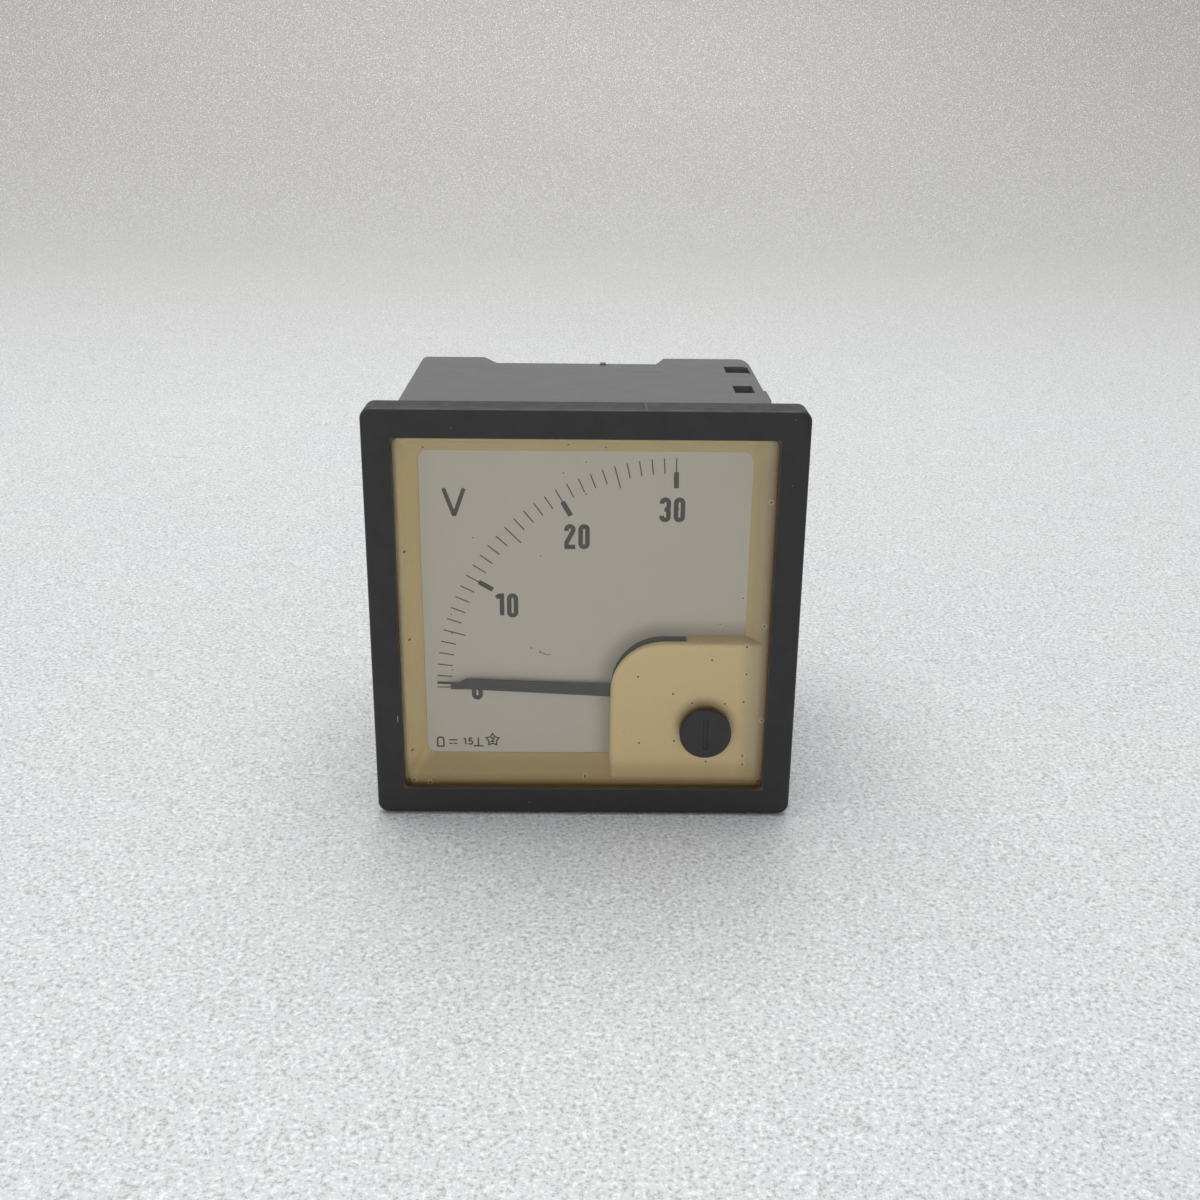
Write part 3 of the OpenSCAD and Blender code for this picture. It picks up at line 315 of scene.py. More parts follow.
def cream_plastic():
    s = Shader("cream_plastic")
    edge = s.group(SOFT_EDGES, radius=0.25 * MM)
    cloud = s.noise(70, 4.0)
    colour = s.mix(cloud, srgb(230, 204, 146), srgb(237, 213, 157))
    inward = edge_distance(s, SURROUND_HIGH.x)
    wander = s.math("MULTIPLY", s.noise(180, 3.0), 0.5 * MM)
    # Dirt and painted shade: browner close to the surround's outer edge, next to the front frame.
    grime_and_shade = s.ramp(s.math("ADD", inward, wander), 0.5 * MM, 2.0 * MM, 1.0, 0.0)
    colour = s.mix(s.math("MULTIPLY", grime_and_shade, 0.28), colour, srgb(166, 126, 62))
    # Painted light and shade on the tray's sides: the left side lighter, the right side darker and greener,
    # the top side a little darker.
    left = s.ramp(s.axes()[0], -26.0 * MM, -29.0 * MM, 0.0, 0.6)
    colour = s.mix(left, colour, srgb(250, 222, 150))
    right = s.ramp(s.axes()[0], 26.0 * MM, 29.5 * MM, 0.0, 0.6)
    colour = s.mix(right, colour, srgb(168, 156, 116))
    top = s.ramp(s.axes()[2], 26.0 * MM, 29.5 * MM, 0.0, 0.5)
    colour = s.mix(top, colour, srgb(222, 200, 140))
    # Painted shade: the tray's bottom slope darker and more olive.
    slope_shade = s.ramp(s.axes()[2], -29.0 * MM, -26.0 * MM, 0.5, 0.0)
    colour = s.mix(slope_shade, colour, srgb(176, 144, 84))
    # Painted shade: faces that look upwards, such as the cover's top wall inside the recess, are darker.
    facing = s.node("SeparateXYZ")
    s.link(s.node("NewGeometry").outputs["Normal"], facing.inputs[0])
    upward_face_shade = s.ramp(facing.outputs["Z"], 0.4, 0.9, 0.0, 0.45)
    colour = s.mix(upward_face_shade, colour, srgb(150, 126, 80))
    # Dirt and painted shade: darker brown towards the bottom and right edges, next to the front frame.
    low = s.ramp(s.axes()[2], -31.4 * MM, -29.6 * MM, 0.62, 0.0)
    colour = s.mix(low, colour, srgb(124, 86, 42))
    side = s.ramp(s.axes()[0], 29.3 * MM, 31.4 * MM, 0.0, 0.75)
    colour = s.mix(side, colour, srgb(122, 88, 44))
    # Painted light and dust: a pale grey line along the left edge, next to the front frame, lightening the
    # shaded gap under its lip.
    pale = s.ramp(s.axes()[0], -31.1 * MM, -30.7 * MM, 0.6, 0.0)
    colour = s.mix(pale, colour, srgb(196, 188, 168))
    # Painted shadow and dirt: a brown ring round the zero screw, centred a little above it, where the screw's
    # head shades the cover.
    screw_shade_and_dirt = spot(s, ZERO_X / MM - 0.1, ZERO_Z / MM + 0.75, 0.75, (5.9, 5.9))
    colour = s.mix(screw_shade_and_dirt, colour, srgb(128, 94, 50))
    dots = s.group(SPECKS, scale=330.0, size=0.07, share=0.2)
    colour = s.mix(s.math("MULTIPLY", dots["Ring"], 0.35), colour, srgb(232, 218, 178))
    colour = s.mix(s.math("MULTIPLY", dots["Speck"], 0.85), colour, srgb(70, 44, 24))
    fine = s.group(SPECKS, scale=720.0, size=0.07, share=0.08)["Speck"]
    colour = s.mix(s.math("MULTIPLY", fine, 0.45), colour, srgb(128, 96, 58))
    normal = s.bump(s.noise(2600, 2.0), 0.008 * MM, 0.4, edge["Normal"])
    return s.finish(colour, 0.42, normal, Subsurface_Weight=0.12, Subsurface_Scale=1.2 * MM)


def cover_depth(s):
    """Distance inside the movement cover's rounded top left outline."""
    x, _, z = s.axes()[:3]
    across = s.math("MAXIMUM", s.math("SUBTRACT", (COVER_LEFT + COVER_CORNER_R) * MM, x), 0.0)
    centre_z = (COVER_TOP + COVER_RAISE - COVER_CORNER_R) * MM
    upward = s.math("MAXIMUM", s.math("SUBTRACT", z, centre_z), 0.0)
    squares = s.math("ADD", s.math("MULTIPLY", across, across), s.math("MULTIPLY", upward, upward))
    return s.math("SUBTRACT", COVER_CORNER_R * MM, s.math("SQRT", squares))


def dial_paint():
    s = Shader("dial_paint")
    cloud = s.noise(38, 4.0)
    colour = s.mix(cloud, srgb(203, 196, 185), srgb(210, 204, 193))
    depth = cover_depth(s)
    # Painted shadow of the movement cover: the dial darker towards the cover's edge.
    shade = s.ramp(depth, -3.6 * MM, 0.1 * MM, 0.0, 0.5)
    colour = s.mix(shade, colour, srgb(120, 108, 84))
    dots = s.group(SPECKS, scale=260.0, size=0.045, share=0.08)
    colour = s.mix(s.math("MULTIPLY", dots["Ring"], 0.3), colour, srgb(226, 219, 208))
    colour = s.mix(s.math("MULTIPLY", dots["Speck"], 0.8), colour, srgb(92, 84, 70))
    # Painted shade: the dial under the movement cover, seen through the pointer's slot, is made nearly black.
    colour = s.mix(s.ramp(depth, 0.15 * MM, 0.3 * MM), colour, srgb(44, 40, 34))
    normal = s.bump(s.noise(3000, 3.0), 0.006 * MM, 0.35)
    return s.finish(colour, 0.55, normal)


def printed_ink(name, shade):
    s = Shader(name)
    colour = s.mix(s.noise(900, 3.0), shade, srgb(50, 46, 37))
    return s.finish(colour, 0.6, s.bump(s.noise(6000, 2.0), 0.004 * MM, 0.4))


def black_plastic():
    s = Shader("black_plastic")
    edge = s.group(SOFT_EDGES, radius=0.2 * MM)
    colour = s.mix(s.noise(220, 4.0), srgb(40, 37, 38), srgb(48, 44, 44))
    rough = s.ramp(s.noise(500, 4.0), 0.3, 0.7, 0.4, 0.55)
    return s.finish(colour, rough, s.bump(s.noise(3800, 2.0), 0.01 * MM, 0.5, edge["Normal"]))


def pointer_paint():
    s = Shader("pointer_paint")
    edge = s.group(SOFT_EDGES, radius=0.08 * MM)
    colour = s.mix(s.noise(500, 3.0), srgb(24, 23, 23), srgb(31, 30, 30))
    return s.finish(colour, 0.55, edge["Normal"])


def metal(name, light, dark, rough, grain=1500.0, stretch=(1.0, 1.0, 1.0), tarnish=0.5):
    s = Shader(name)
    edge = s.group(SOFT_EDGES, radius=0.12 * MM)
    turn = s.node("Mapping")
    s.link(s.coordinates(), turn.inputs["Vector"])
    turn.inputs["Scale"].default_value = stretch
    lines = s.noise(grain, 3.0, 0.6, turn.outputs[0])
    stain = s.ramp(s.noise(260, 5.0, 0.65), 0.45, 0.7)
    colour = s.mix(s.math("MULTIPLY", stain, tarnish), light, dark)
    sheen = s.ramp(lines, 0.2, 0.8, rough - 0.06, rough + 0.1)
    roughness = s.math("ADD", sheen, s.math("MULTIPLY", stain, 0.15))
    return s.finish(colour, roughness, s.bump(lines, 0.006 * MM, 0.5, edge["Normal"]), Metallic=1.0)


def coated(name, light, dark, rough, scale=300.0, bump=0.01):
    s = Shader(name)
    edge = s.group(SOFT_EDGES, radius=0.12 * MM)
    colour = s.mix(s.noise(scale, 4.0, 0.6), light, dark)
    roughness = s.ramp(s.noise(2 * scale, 3.0), 0.3, 0.7, rough - 0.05, rough + 0.08)
    return s.finish(colour, roughness, s.bump(s.noise(8 * scale, 2.0), bump * MM, 0.5, edge["Normal"]))


def clear_window():
    """Clear acrylic that lets lamps through, with a thin film of dust."""
    s = Shader("clear_window")
    haze = s.ramp(s.noise(90, 5.0, 0.6), 0.35, 0.75, 0.02, 0.05)
    s.finish(srgb(250, 250, 247), haze, None, Transmission_Weight=1.0, IOR=1.49)
    clear = s.node("BsdfTransparent")
    clear.inputs["Color"].default_value = (0.93, 0.93, 0.925, 1.0)
    lamp = s.node("LightPath")
    mixed = s.node("MixShader")
    s.link(lamp.outputs["Is Shadow Ray"], mixed.inputs[0])
    s.link(s.bsdf.outputs[0], mixed.inputs[1])
    s.link(clear.outputs[0], mixed.inputs[2])
    s.link(mixed.outputs[0], s.output.inputs["Surface"])
    return s.material


def make_materials():
    return {
        "front_frame_plastic": front_frame_plastic(),
        "housing_plastic": housing_plastic(),
        "clear_window": clear_window(),
        "cream_plastic": cream_plastic(),
        "dial_paint": dial_paint(),
        "black_print": printed_ink("black_print", srgb(38, 34, 27)),
        "black_plastic": black_plastic(),
        "pointer_paint": pointer_paint(),
        "brass": metal("brass", srgb(214, 178, 98), srgb(132, 96, 48), 0.3),
        "steel": metal("steel", srgb(176, 177, 178), srgb(104, 98, 92), 0.34),
        "spring_bronze": metal("spring_bronze", srgb(196, 142, 84), srgb(130, 84, 46), 0.3),
        "bare_aluminium": metal("bare_aluminium", srgb(205, 206, 207), srgb(150, 150, 150), 0.38),
        "copper_winding": metal("copper_winding", srgb(190, 104, 62), srgb(120, 56, 30), 0.35),
        "soft_iron": metal("soft_iron", srgb(150, 152, 156), srgb(86, 80, 76), 0.42),
        "magnet_alloy": metal("magnet_alloy", srgb(122, 122, 126), srgb(78, 74, 72), 0.5),
        "diecast": metal("diecast", srgb(168, 168, 168), srgb(118, 116, 112), 0.5),
        "resistor_body": coated("resistor_body", srgb(150, 96, 58), srgb(132, 80, 46), 0.4),
        "wire_sleeve": coated("wire_sleeve", srgb(150, 34, 28), srgb(120, 26, 22), 0.45),
    }


MATERIALS = make_materials()


def finish_cad_nodes():
    """Gives every CAD node the finish that the record names for it."""
    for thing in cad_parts.values():
        for place in thing.material_slots:
            place.material = MATERIALS[place.material.name.split(".")[0]]


# --- Mesh helpers ---------------------------------------------------------------------

def piece(name, mesh, material, body="case", smooth=False):
    """A finished piece of the meter that moves with a body."""
    thing = bpy.data.objects.new(name, mesh)
    bpy.context.scene.collection.objects.link(thing)
    mesh.materials.clear()
    mesh.materials.append(MATERIALS[material])
    for face in mesh.polygons:
        face.use_smooth = smooth
    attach(thing, body)
    return thing


def mesh_from(bm, name):
    bmesh.ops.recalc_face_normals(bm, faces=bm.faces)
    mesh = bpy.data.meshes.new(name)
    bm.to_mesh(mesh)
    bm.free()
    return mesh


def arc(centre, radius, start, end, steps=14, squash=1.0):
    """Points on an arc in the plane of the dial, as x and z."""
    return [(centre[0] + radius * math.cos(math.radians(start + (end - start) * i / steps)),
             centre[1] + squash * radius * math.sin(math.radians(start + (end - start) * i / steps)))
            for i in range(steps + 1)]


def ink_strokes(name, strokes, width, thickness=0.03 * MM):
    """Flat printed lines on the dial's face; each stroke is its points and whether it closes."""
    pen = bpy.data.curves.new(name + "_pen", "CURVE")
    pen.dimensions = "2D"
    nib = pen.splines.new("POLY")
    nib.points.add(3)
    for point, (u, v) in zip(nib.points, [(-1, -1), (1, -1), (1, 1), (-1, 1)]):
        point.co = (u * width / 2, v * thickness / 2, 0, 1)
    nib.use_cyclic_u = True
    pen_thing = bpy.data.objects.new(name + "_pen", pen)
    line = bpy.data.curves.new(name, "CURVE")
    line.dimensions = "2D"
    line.bevel_mode = "OBJECT"
    line.bevel_object = pen_thing
    line.use_fill_caps = True
    for points, closed in strokes:
        spline = line.splines.new("POLY")
        spline.points.add(len(points) - 1)
        for point, (x, z) in zip(spline.points, points):
            point.co = (x, z, 0, 1)
        spline.use_cyclic_u = closed
    holder = bpy.data.objects.new(name, line)
    bpy.context.scene.collection.objects.link(holder)
    bpy.context.view_layer.update()
    mesh = bpy.data.meshes.new_from_object(holder.evaluated_get(bpy.context.evaluated_depsgraph_get()))
    for unused in (holder, pen_thing):
        bpy.data.objects.remove(unused)
    turn = Matrix.Rotation(math.radians(90), 4, "X")
    mesh.transform(Matrix.Translation((0, DIAL_Y - thickness / 2, 0)) @ turn)
    return mesh


# --- Dial print -----------------------------------------------------------------------

def placed(strokes, x, z, scale=1.0):
    return [([(x + scale * u, z + scale * v) for u, v in points], closed) for points, closed in strokes]


def nought(width, height):
    """Centre line of a narrow nought: two straight sides and round ends."""
    r = width / 2
    return [(arc((r, height - r), r, 0, 180) + arc((r, r), r, 180, 360), True)]


def one(width, height):
    return [([(width, 0), (width, height + 0.36)], False),
            ([(width, height + 0.02), (width - 0.55, height - 0.1), (width - 0.92, height - 0.45)], False)]


def two(width, height):
    r = width / 2
    top = arc((r, height - r), r, 180, -30)
    start = [(0, height - r - 0.25)]
    return [(start + top + [(0.02, 0.75), (0.0, 0.0)], False), ([(-0.36, 0.0), (width + 0.36, 0.0)], False)]


def three(width, height):
    r = width / 2
    middle = height / 2 + 0.05
    upper = ([(0, height - r - 0.15)] + arc((r, height - r), r, 180, 0)
             + arc((r, middle + r - 0.1), r, 0, -62, 8))
    lower = arc((r, middle - r + 0.1), r, 62, 0, 8) + arc((r, r), r, 0, -180) + [(0, r + 0.15)]
    return [(upper, False), (lower, False), ([(r - 0.12, middle), (r + 0.35, middle)], False)]


NUMERAL_STROKE = 0.78
NUMERAL_WIDTH = 1.92
DIGITS = {"0": nought, "1": one, "2": two, "3": three}


def numeral(text, left, bottom, height, gap=0.46):
    """A number in narrow bold figures; left and bottom are its outer edges in millimetres."""
    pen = NUMERAL_STROKE
    strokes = []
    x = left + pen / 2
    for digit in text:
        strokes += placed(DIGITS[digit](NUMERAL_WIDTH - pen, height - pen), x, bottom + pen / 2)
        x += NUMERAL_WIDTH + gap
    strokes = [([(u * MM, v * MM) for u, v in points], closed) for points, closed in strokes]
    mesh = ink_strokes("number_" + text, strokes, pen * MM)
    return piece("number_" + text, mesh, "black_print")


def scale_marks():
    """The ring of marks: every fifth is longer and every tenth ends in a bold bar."""
    radius, centre_z, steps = 41.4, PIVOT_Z + 0.25, 30
    step, last_short = 3, 1.04                           # degrees: between marks, and lost by the last one
    short, numbered, middle, bar_start = 2.6, 2.4, 3.9, 5.15
    thin, bold = [], []
    for i in range(steps + 1):
        turn = math.radians(180 - step * i + last_short * (i / steps) ** 6)
        length = numbered if i % 10 == 0 else middle if i % 5 == 0 else short

        def point(reach):
            return ((PIVOT_X + reach * math.cos(turn)) * MM, (centre_z + reach * math.sin(turn)) * MM)
        thin.append(([point(radius - length), point(radius)], False))
        if i % 10 == 0:
            bold.append(([point(radius - bar_start), point(radius - length)], False))
    marks = ink_strokes("thin_marks", thin, 0.2 * MM)
    bars = ink_strokes("bold_bars", bold, 0.84 * MM)
    bm = bmesh.new()
    bm.from_mesh(marks)
    bm.from_mesh(bars)
    mesh = mesh_from(bm, "scale_marks")
    thing = piece("scale_marks", mesh, "black_print")
    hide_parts("scale_print")
    return thing


def unit_letter(left, bottom, width, height):
    pen = 0.7
    tip = (left + width / 2) * MM, (bottom + pen / 2) * MM
    arms = [([((left + side * (width - pen) + pen / 2) * MM, (bottom + height) * MM), tip], False)
            for side in (0, 1)]
    return piece("unit_letter", ink_strokes("unit_letter", arms, pen * MM), "black_print")


def symbol(name, strokes, pen):
    scaled = [([(u * MM, v * MM) for u, v in points], closed) for points, closed in strokes]
    return piece(name, ink_strokes(name, scaled, pen * MM), "black_print")


def moving_coil_symbol(x, z):
    """A horseshoe magnet, its ends down and closed by its keeper."""
    arch = ([(x + 0.1, z + 0.1)] + arc((x + 0.5, z + 1.45), 0.4, 180, 90, 6)
            + arc((x + 0.8, z + 1.45), 0.4, 90, 0, 6) + [(x + 1.2, z + 0.1)])
    foot = [([(x, z + 0.1), (x + 1.3, z + 0.1)], False)]
    return symbol("moving_coil_symbol", [(arch, False)] + foot, 0.28)


def direct_current_symbol(x, z):
    return symbol("direct_current_symbol",
                  [([(x, z + 0.85), (x + 1.45, z + 0.85)], False),
                   ([(x, z + 0.15), (x + 0.6, z + 0.15)], False),
                   ([(x + 0.8, z + 0.15), (x + 1.45, z + 0.15)], False)], 0.26)


def accuracy_class(x, z):
    small = 1.25
    one_stroke = [([(x + 0.35, z), (x + 0.35, z + small)], False),
                  ([(x + 0.3, z + small - 0.05), (x, z + small - 0.3)], False)]
    dot = [([(x + 0.62, z + 0.06), (x + 0.78, z + 0.06)], False)]
    five = [([(x + 1.55, z + small - 0.05), (x + 1.05, z + small - 0.05), (x + 1.02, z + 0.68)]
             + arc((x + 1.22, z + 0.40), 0.36, 110, -140, 12), False)]
    return symbol("accuracy_class", one_stroke + dot + five, 0.27)


def upright_symbol(x, z):
    return symbol("upright_symbol",
                  [([(x, z + 0.1), (x + 1.75, z + 0.1)], False),
                   ([(x + 0.87, z + 0.1), (x + 0.87, z + 1.75)], False)], 0.26)


def test_voltage_symbol(x, z):
    """A five-pointed star."""
    centre = (x + 1.15, z + 1.2)
    points = []
    for i in range(10):
        radius = 1.2 if i % 2 == 0 else 0.7
        angle = math.radians(90 + 36 * i)
        points.append((centre[0] + radius * math.cos(angle), centre[1] + radius * math.sin(angle)))
    inner_two = [([(centre[0] - 0.22, centre[1] + 0.2)] + arc((centre[0], centre[1] + 0.2), 0.22, 160, -30, 8)
                  + [(centre[0] - 0.22, centre[1] - 0.35), (centre[0] + 0.28, centre[1] - 0.35)], False)]
    return symbol("test_voltage_symbol", [(points, True)] + inner_two, 0.25)


def stray_mark():
    """A short broken line of dirt on the dial."""
    bits = [((-9.35, -7.25), (-9.1, -7.35)), ((-7.9, -7.95), (-7.4, -8.2)), ((-7.2, -8.3), (-6.8, -8.48)),
            ((-6.65, -8.5), (-6.4, -8.55)), ((-6.15, -8.45), (-5.95, -8.5))]
    return symbol("stray_mark", [(list(bit), False) for bit in bits], 0.22)


def print_dial():
    stray_mark()
    scale_marks()
    numeral("0", -19.68, -17.1, 3.6)
    numeral("10", -15.72, -1.68, 4.4)
    numeral("20", -3.57, 10.74, 4.4)
    numeral("30", 12.33, 15.6, 4.3)
    unit_letter(-24.0, 16.1, 4.1, 5.1)
    moving_coil_symbol(-26.05, -26.3)
    direct_current_symbol(-23.9, -25.8)
    accuracy_class(-21.35, -25.8)
    upright_symbol(-19.6, -26.2)
    test_voltage_symbol(-17.35, -26.1)


# --- Refitted pieces -----------------------------------------------------------------

def merged_copy(name):
    """A CAD node's mesh in the meter's frame, its split corners merged, ready to be refitted."""
    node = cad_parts[name]
    mesh = node.data.copy()
    mesh.transform(node.matrix_world)
    bm = bmesh.new()
    bm.from_mesh(mesh)
    bmesh.ops.remove_doubles(bm, verts=bm.verts, dist=0.001 * MM)
    return bm


def pointer_in_place():
    """The pointer, its arm bent a touch up the scale, with the short shoulder before its knife edge."""
    rest, bend, rise = math.radians(180 - 1.2), math.radians(0.7), 0.35 * MM
    crank_reach, shoulder_from, shoulder_to = 7.9, 36.1, 37.55
    along = Vector((math.cos(rest), 0, math.sin(rest)))
    across = Vector((-math.sin(rest), 0, math.cos(rest)))
    pivot = Vector((PIVOT_X * MM, 0, PIVOT_Z * MM))
    turned = Matrix.Rotation(bend, 3, "Y")
    bm = merged_copy("pointer")
    for vert in bm.verts:
        offset = vert.co - pivot
        reach, side = offset.dot(along) / MM, offset.dot(across) / MM
        if reach < crank_reach:
            continue
        if side * SHOULDER_SIDE > 0 and 34.5 < reach < 38.8:
            reach = shoulder_from if abs(side) > 0.5 else shoulder_to
        side *= 0.98
        flat = reach * MM * along + side * MM * across
        vert.co = pivot + Vector((0, offset.y, 0)) + turned @ flat + Vector((0, 0, rise))
    thing = piece("pointer_arm", mesh_from(bm, "pointer_arm"), "pointer_paint", body="moving_coil")
    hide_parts("pointer")
    return thing


def zero_screw_in_place():
    """The zero screw with a slightly smaller head and a worn, shallow slot."""
    bm = merged_copy("zero_screw")
    axis = Vector((ZERO_X, 0, ZERO_Z))
    for vert in bm.verts:
        flat = Vector((vert.co.x, 0, vert.co.z)) - axis
        if flat.length > 4.3 * MM:
            vert.co -= flat * (1 - 4.45 * MM / flat.length)
        elif flat.length < 3.3 * MM and 0.05 * MM < vert.co.y - ZERO_LOW.y < 1.0 * MM:
            vert.co.y = ZERO_LOW.y + 0.2 * MM
    thing = piece("zero_screw_head", mesh_from(bm, "zero_screw_head"), "black_plastic", body="zero_screw")
    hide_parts("zero_screw")
    return thing


def surround_in_place():
    """The scale surround, its cover's top left corner opened out to the finished radius."""
    bm = merged_copy("scale_surround")
    old_x, old_z = (COVER_LEFT + CAST_CORNER_R) * MM, (COVER_TOP - CAST_CORNER_R) * MM
    grow = (COVER_CORNER_R - CAST_CORNER_R) * MM
    slack = 0.02 * MM
    for vert in bm.verts:
        left, up = vert.co.x - old_x, vert.co.z - old_z
        reach = math.hypot(left, up)
        if left < slack and up > -slack and slack < reach < CAST_CORNER_R * MM + slack:
            vert.co.x = old_x + grow + left * (reach + grow) / reach
            vert.co.z = old_z - grow + up * (reach + grow) / reach
        at_top_side = COVER_TOP - COVER_CORNER_R < vert.co.z / MM < COVER_TOP + 0.1
        if vert.co.x > COVER_LEFT * MM - slack and at_top_side:
            vert.co.z += COVER_RAISE * MM
        if abs(vert.co.y - DIAL_Y) < slack and vert.co.z < -26.0 * MM and abs(vert.co.x) < 28 * MM:
            vert.co.z += 0.45 * MM
        if abs(vert.co.x - SLOT_RIGHT * MM) < 0.1 * MM:
            vert.co.x += 0.17 * MM
    thing = piece("surround_moulding", mesh_from(bm, "surround_moulding"), "cream_plastic")
    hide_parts("scale_surround")
    return thing


def threaded_studs():
    """The terminal studs with their screw threads cut from the nuts to the rounded ends."""
    pitch, depth, around, per_turn = 0.7, 0.34, 40, 7
    recess, covered, outer = 6.0, 4.0, 2.0               # rear recess, length under the nut, stud radius, mm
    start, end = HOUSING_HIGH.y / MM - recess + covered, STUD_HIGH.y / MM
    bm = merged_copy("terminal_studs")
    middle = (STUD_LOW.x + STUD_HIGH.x) / 2
    rods = [vert for vert in bm.verts if vert.co.y > (start + 0.05) * MM]
    for vert in rods:
        vert.co.y = (start + 0.4) * MM
    count = int((end - start) / pitch * per_turn)
    for side in (-1, 1):
        axis_x = middle + side * STUD_PITCH / 2 * MM
        rings = []
        for i in range(count + 1):
            y = start + (end - start) * i / count
            blunt = max(0.0, y - (end - 0.6)) * 0.9
            ring = []
            for k in range(around):
                phase = (y / pitch - k / around) % 1.0
                radius = outer - 0.02 - depth * min(1.0, max(0.0, 2.4 * abs(phase - 0.5) - 0.15)) - blunt
                turn = 2 * math.pi * k / around
                place = (axis_x + radius * math.cos(turn) * MM, y * MM, radius * math.sin(turn) * MM)
                ring.append(bm.verts.new(place))
            rings.append(ring)
        for here, there in zip(rings, rings[1:]):
            for k in range(around):
                bm.faces.new((here[k], here[(k + 1) % around], there[(k + 1) % around], there[k]))
        bm.faces.new(rings[0])
        bm.faces.new(list(reversed(rings[-1])))
    thing = piece("threaded_studs", mesh_from(bm, "threaded_studs"), "brass")
    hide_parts("terminal_studs")
    return thing


def surround_flange():
    """The surround's thin flange, which fills the gap behind the window out to the front frame."""
    inner, outer = SURROUND_HIGH.x - 0.15 * MM, HOUSING_HIGH.x - 0.2 * MM
    front, back = WINDOW_HIGH.y + 0.015 * MM, HOUSING_LOW.y - 0.015 * MM
    bm = bmesh.new()
    rings = []
    for half, y in ((outer, front), (inner, front), (inner, back), (outer, back)):
        rings.append([bm.verts.new((u * half, y, v * half)) for u, v in ((-1, -1), (1, -1), (1, 1), (-1, 1))])
    for i in range(4):
        here, there = rings[i], rings[(i + 1) % 4]
        for k in range(4):
            bm.faces.new((here[k], here[(k + 1) % 4], there[(k + 1) % 4], there[k]))
    return piece("surround_flange", mesh_from(bm, "surround_flange"), "cream_plastic")


# --- Stage ----------------------------------------------------------------------------

def floor_tilt():
    """Slope from the frame's rear edge up to the housing's rear edge, on which the meter rests."""
    rise = HOUSING_LOW.z - BEZEL_LOW.z
    run = HOUSING_HIGH.y - BEZEL_HIGH.y
    return math.atan2(rise, run)


def make_floor():
    tilt = floor_tilt()
    bm = bmesh.new()
    bmesh.ops.create_grid(bm, x_segments=1, y_segments=60, size=1.0)
    for vert in bm.verts:
        u, v = vert.co.x, (vert.co.y + 1) / 2
        length = 0.75 * v * 2 - 0.45
        bend_start, bend_r = 0.55, 0.3
        if length <= bend_start:
            y, z = length, 0.0
        else:
            angle = (length - bend_start) / bend_r
            y = bend_start + bend_r * math.sin(min(angle, 1.4))
            z = bend_r * (1 - math.cos(min(angle, 1.4)))
        vert.co = Vector((1.1 * u, y, z))
    bmesh.ops.transform(bm, matrix=Matrix.Rotation(tilt, 4, "X"), verts=bm.verts)
    bmesh.ops.translate(bm, vec=(0, BEZEL_HIGH.y, BEZEL_LOW.z), verts=bm.verts)
    bmesh.ops.recalc_face_normals(bm, faces=bm.faces)
    mesh = bpy.data.meshes.new("floor")
    bm.to_mesh(mesh)
    bm.free()
    for face in mesh.polygons:
        face.use_smooth = True
    thing = bpy.data.objects.new("floor", mesh)
    bpy.context.scene.collection.objects.link(thing)
    s = Shader("pale_sheet")
    colour = s.mix(s.noise(14, 4.0), srgb(216, 218, 220), srgb(224, 225, 225))
    # Painted shade: the sheet darker towards the back.
    away = s.ramp(s.axes()[1], 0.25, 0.8, 0.0, 1.0, smooth=False)
    colour = s.mix(away, colour, srgb(177, 174, 168))
    grain = s.noise(1450, 3.0, 0.72)
    glint = s.ramp(grain, 0.54, 0.63)
    pit = s.ramp(grain, 0.47, 0.36)
    colour = s.mix(s.math("MULTIPLY", glint, 0.8), colour, srgb(252, 253, 254))
    colour = s.mix(s.math("MULTIPLY", pit, 0.6), colour, srgb(148, 148, 144))
    s.finish(colour, 0.4, s.bump(grain, 0.3 * MM, 0.5))
    mesh.materials.append(s.material)
    return thing


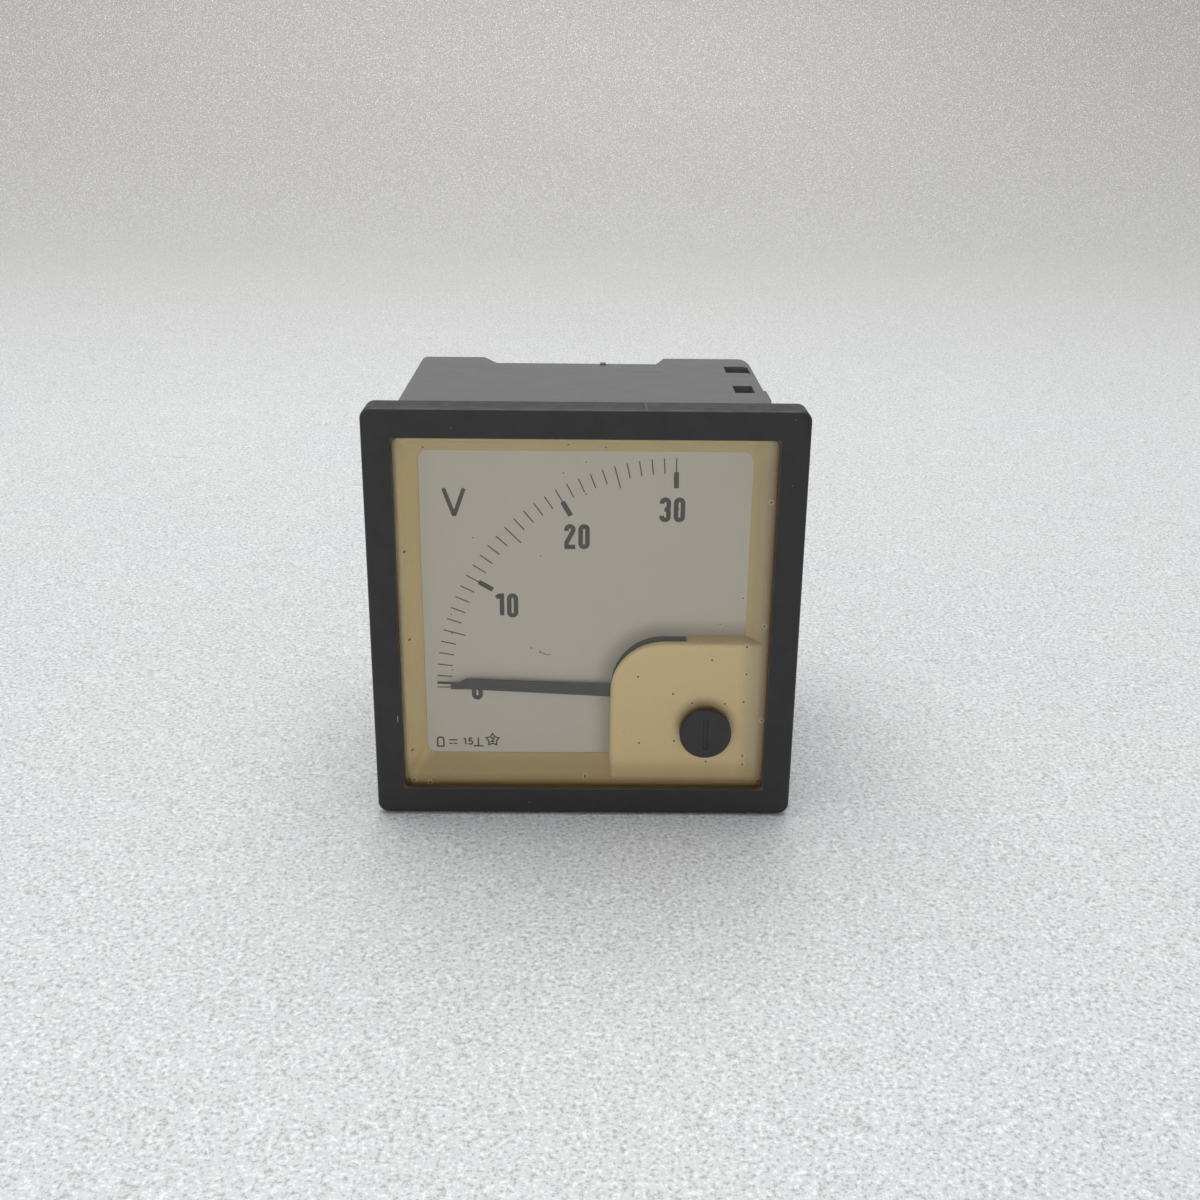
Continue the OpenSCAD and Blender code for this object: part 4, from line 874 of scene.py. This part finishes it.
def area_light(name, place, target, size, power, colour=(1, 1, 1)):
    lamp = bpy.data.lights.new(name, "AREA")
    lamp.shape = "RECTANGLE"
    lamp.size, lamp.size_y = size
    lamp.energy = power
    lamp.color = colour
    thing = bpy.data.objects.new(name, lamp)
    thing.location = place
    thing.rotation_euler = (Vector(target) - Vector(place)).to_track_quat("-Z", "Y").to_euler()
    bpy.context.scene.collection.objects.link(thing)
    return thing


def make_lights():
    area_light("overhead", (-0.1, 0.3, 1.1), (0, 0.02, 0), (1.2, 0.9), 10.2, (1.0, 0.99, 0.97))
    area_light("front_fill", (-0.25, -1.1, 0.2), (0, 0, 0), (1.1, 0.4), 1.6, (1.0, 0.98, 0.95))
    world = bpy.data.worlds.new("soft_room")
    bpy.context.scene.world = world
    world.use_nodes = True
    back = world.node_tree.nodes["Background"]
    back.inputs["Color"].default_value = (0.95, 0.97, 1.0, 1.0)
    back.inputs["Strength"].default_value = 0.5


def make_camera():
    """Looks at the dial from a little above, straight on."""
    swing, height, roll = math.radians(-0.60), math.radians(20.27), math.radians(0.60)
    target = Vector((2.49 * MM, FACE_Y, 4.0 * MM))
    distance = 234.0 * MM
    ahead = Vector((-math.sin(swing) * math.cos(height), math.cos(swing) * math.cos(height),
                    -math.sin(height)))
    right = Vector((math.cos(swing), math.sin(swing), 0))
    up = right.cross(ahead)
    side = math.cos(roll) * right + math.sin(roll) * up
    top = math.cos(roll) * up - math.sin(roll) * right
    lens = bpy.data.cameras.new("camera")
    lens.lens = 42.3
    lens.sensor_width = 36
    lens.clip_start = 0.005
    lens.clip_end = 20
    thing = bpy.data.objects.new("camera", lens)
    turn = Matrix((side, top, -ahead)).transposed()
    thing.matrix_world = Matrix.Translation(target - distance * ahead) @ turn.to_4x4()
    bpy.context.scene.collection.objects.link(thing)
    bpy.context.scene.camera = thing


def main():
    bpy.context.scene.view_settings.view_transform = "Standard"
    make_camera()
    finish_cad_nodes()
    print_dial()
    pointer_in_place()
    surround_in_place()
    zero_screw_in_place()
    threaded_studs()
    surround_flange()
    make_floor()
    make_lights()


main()
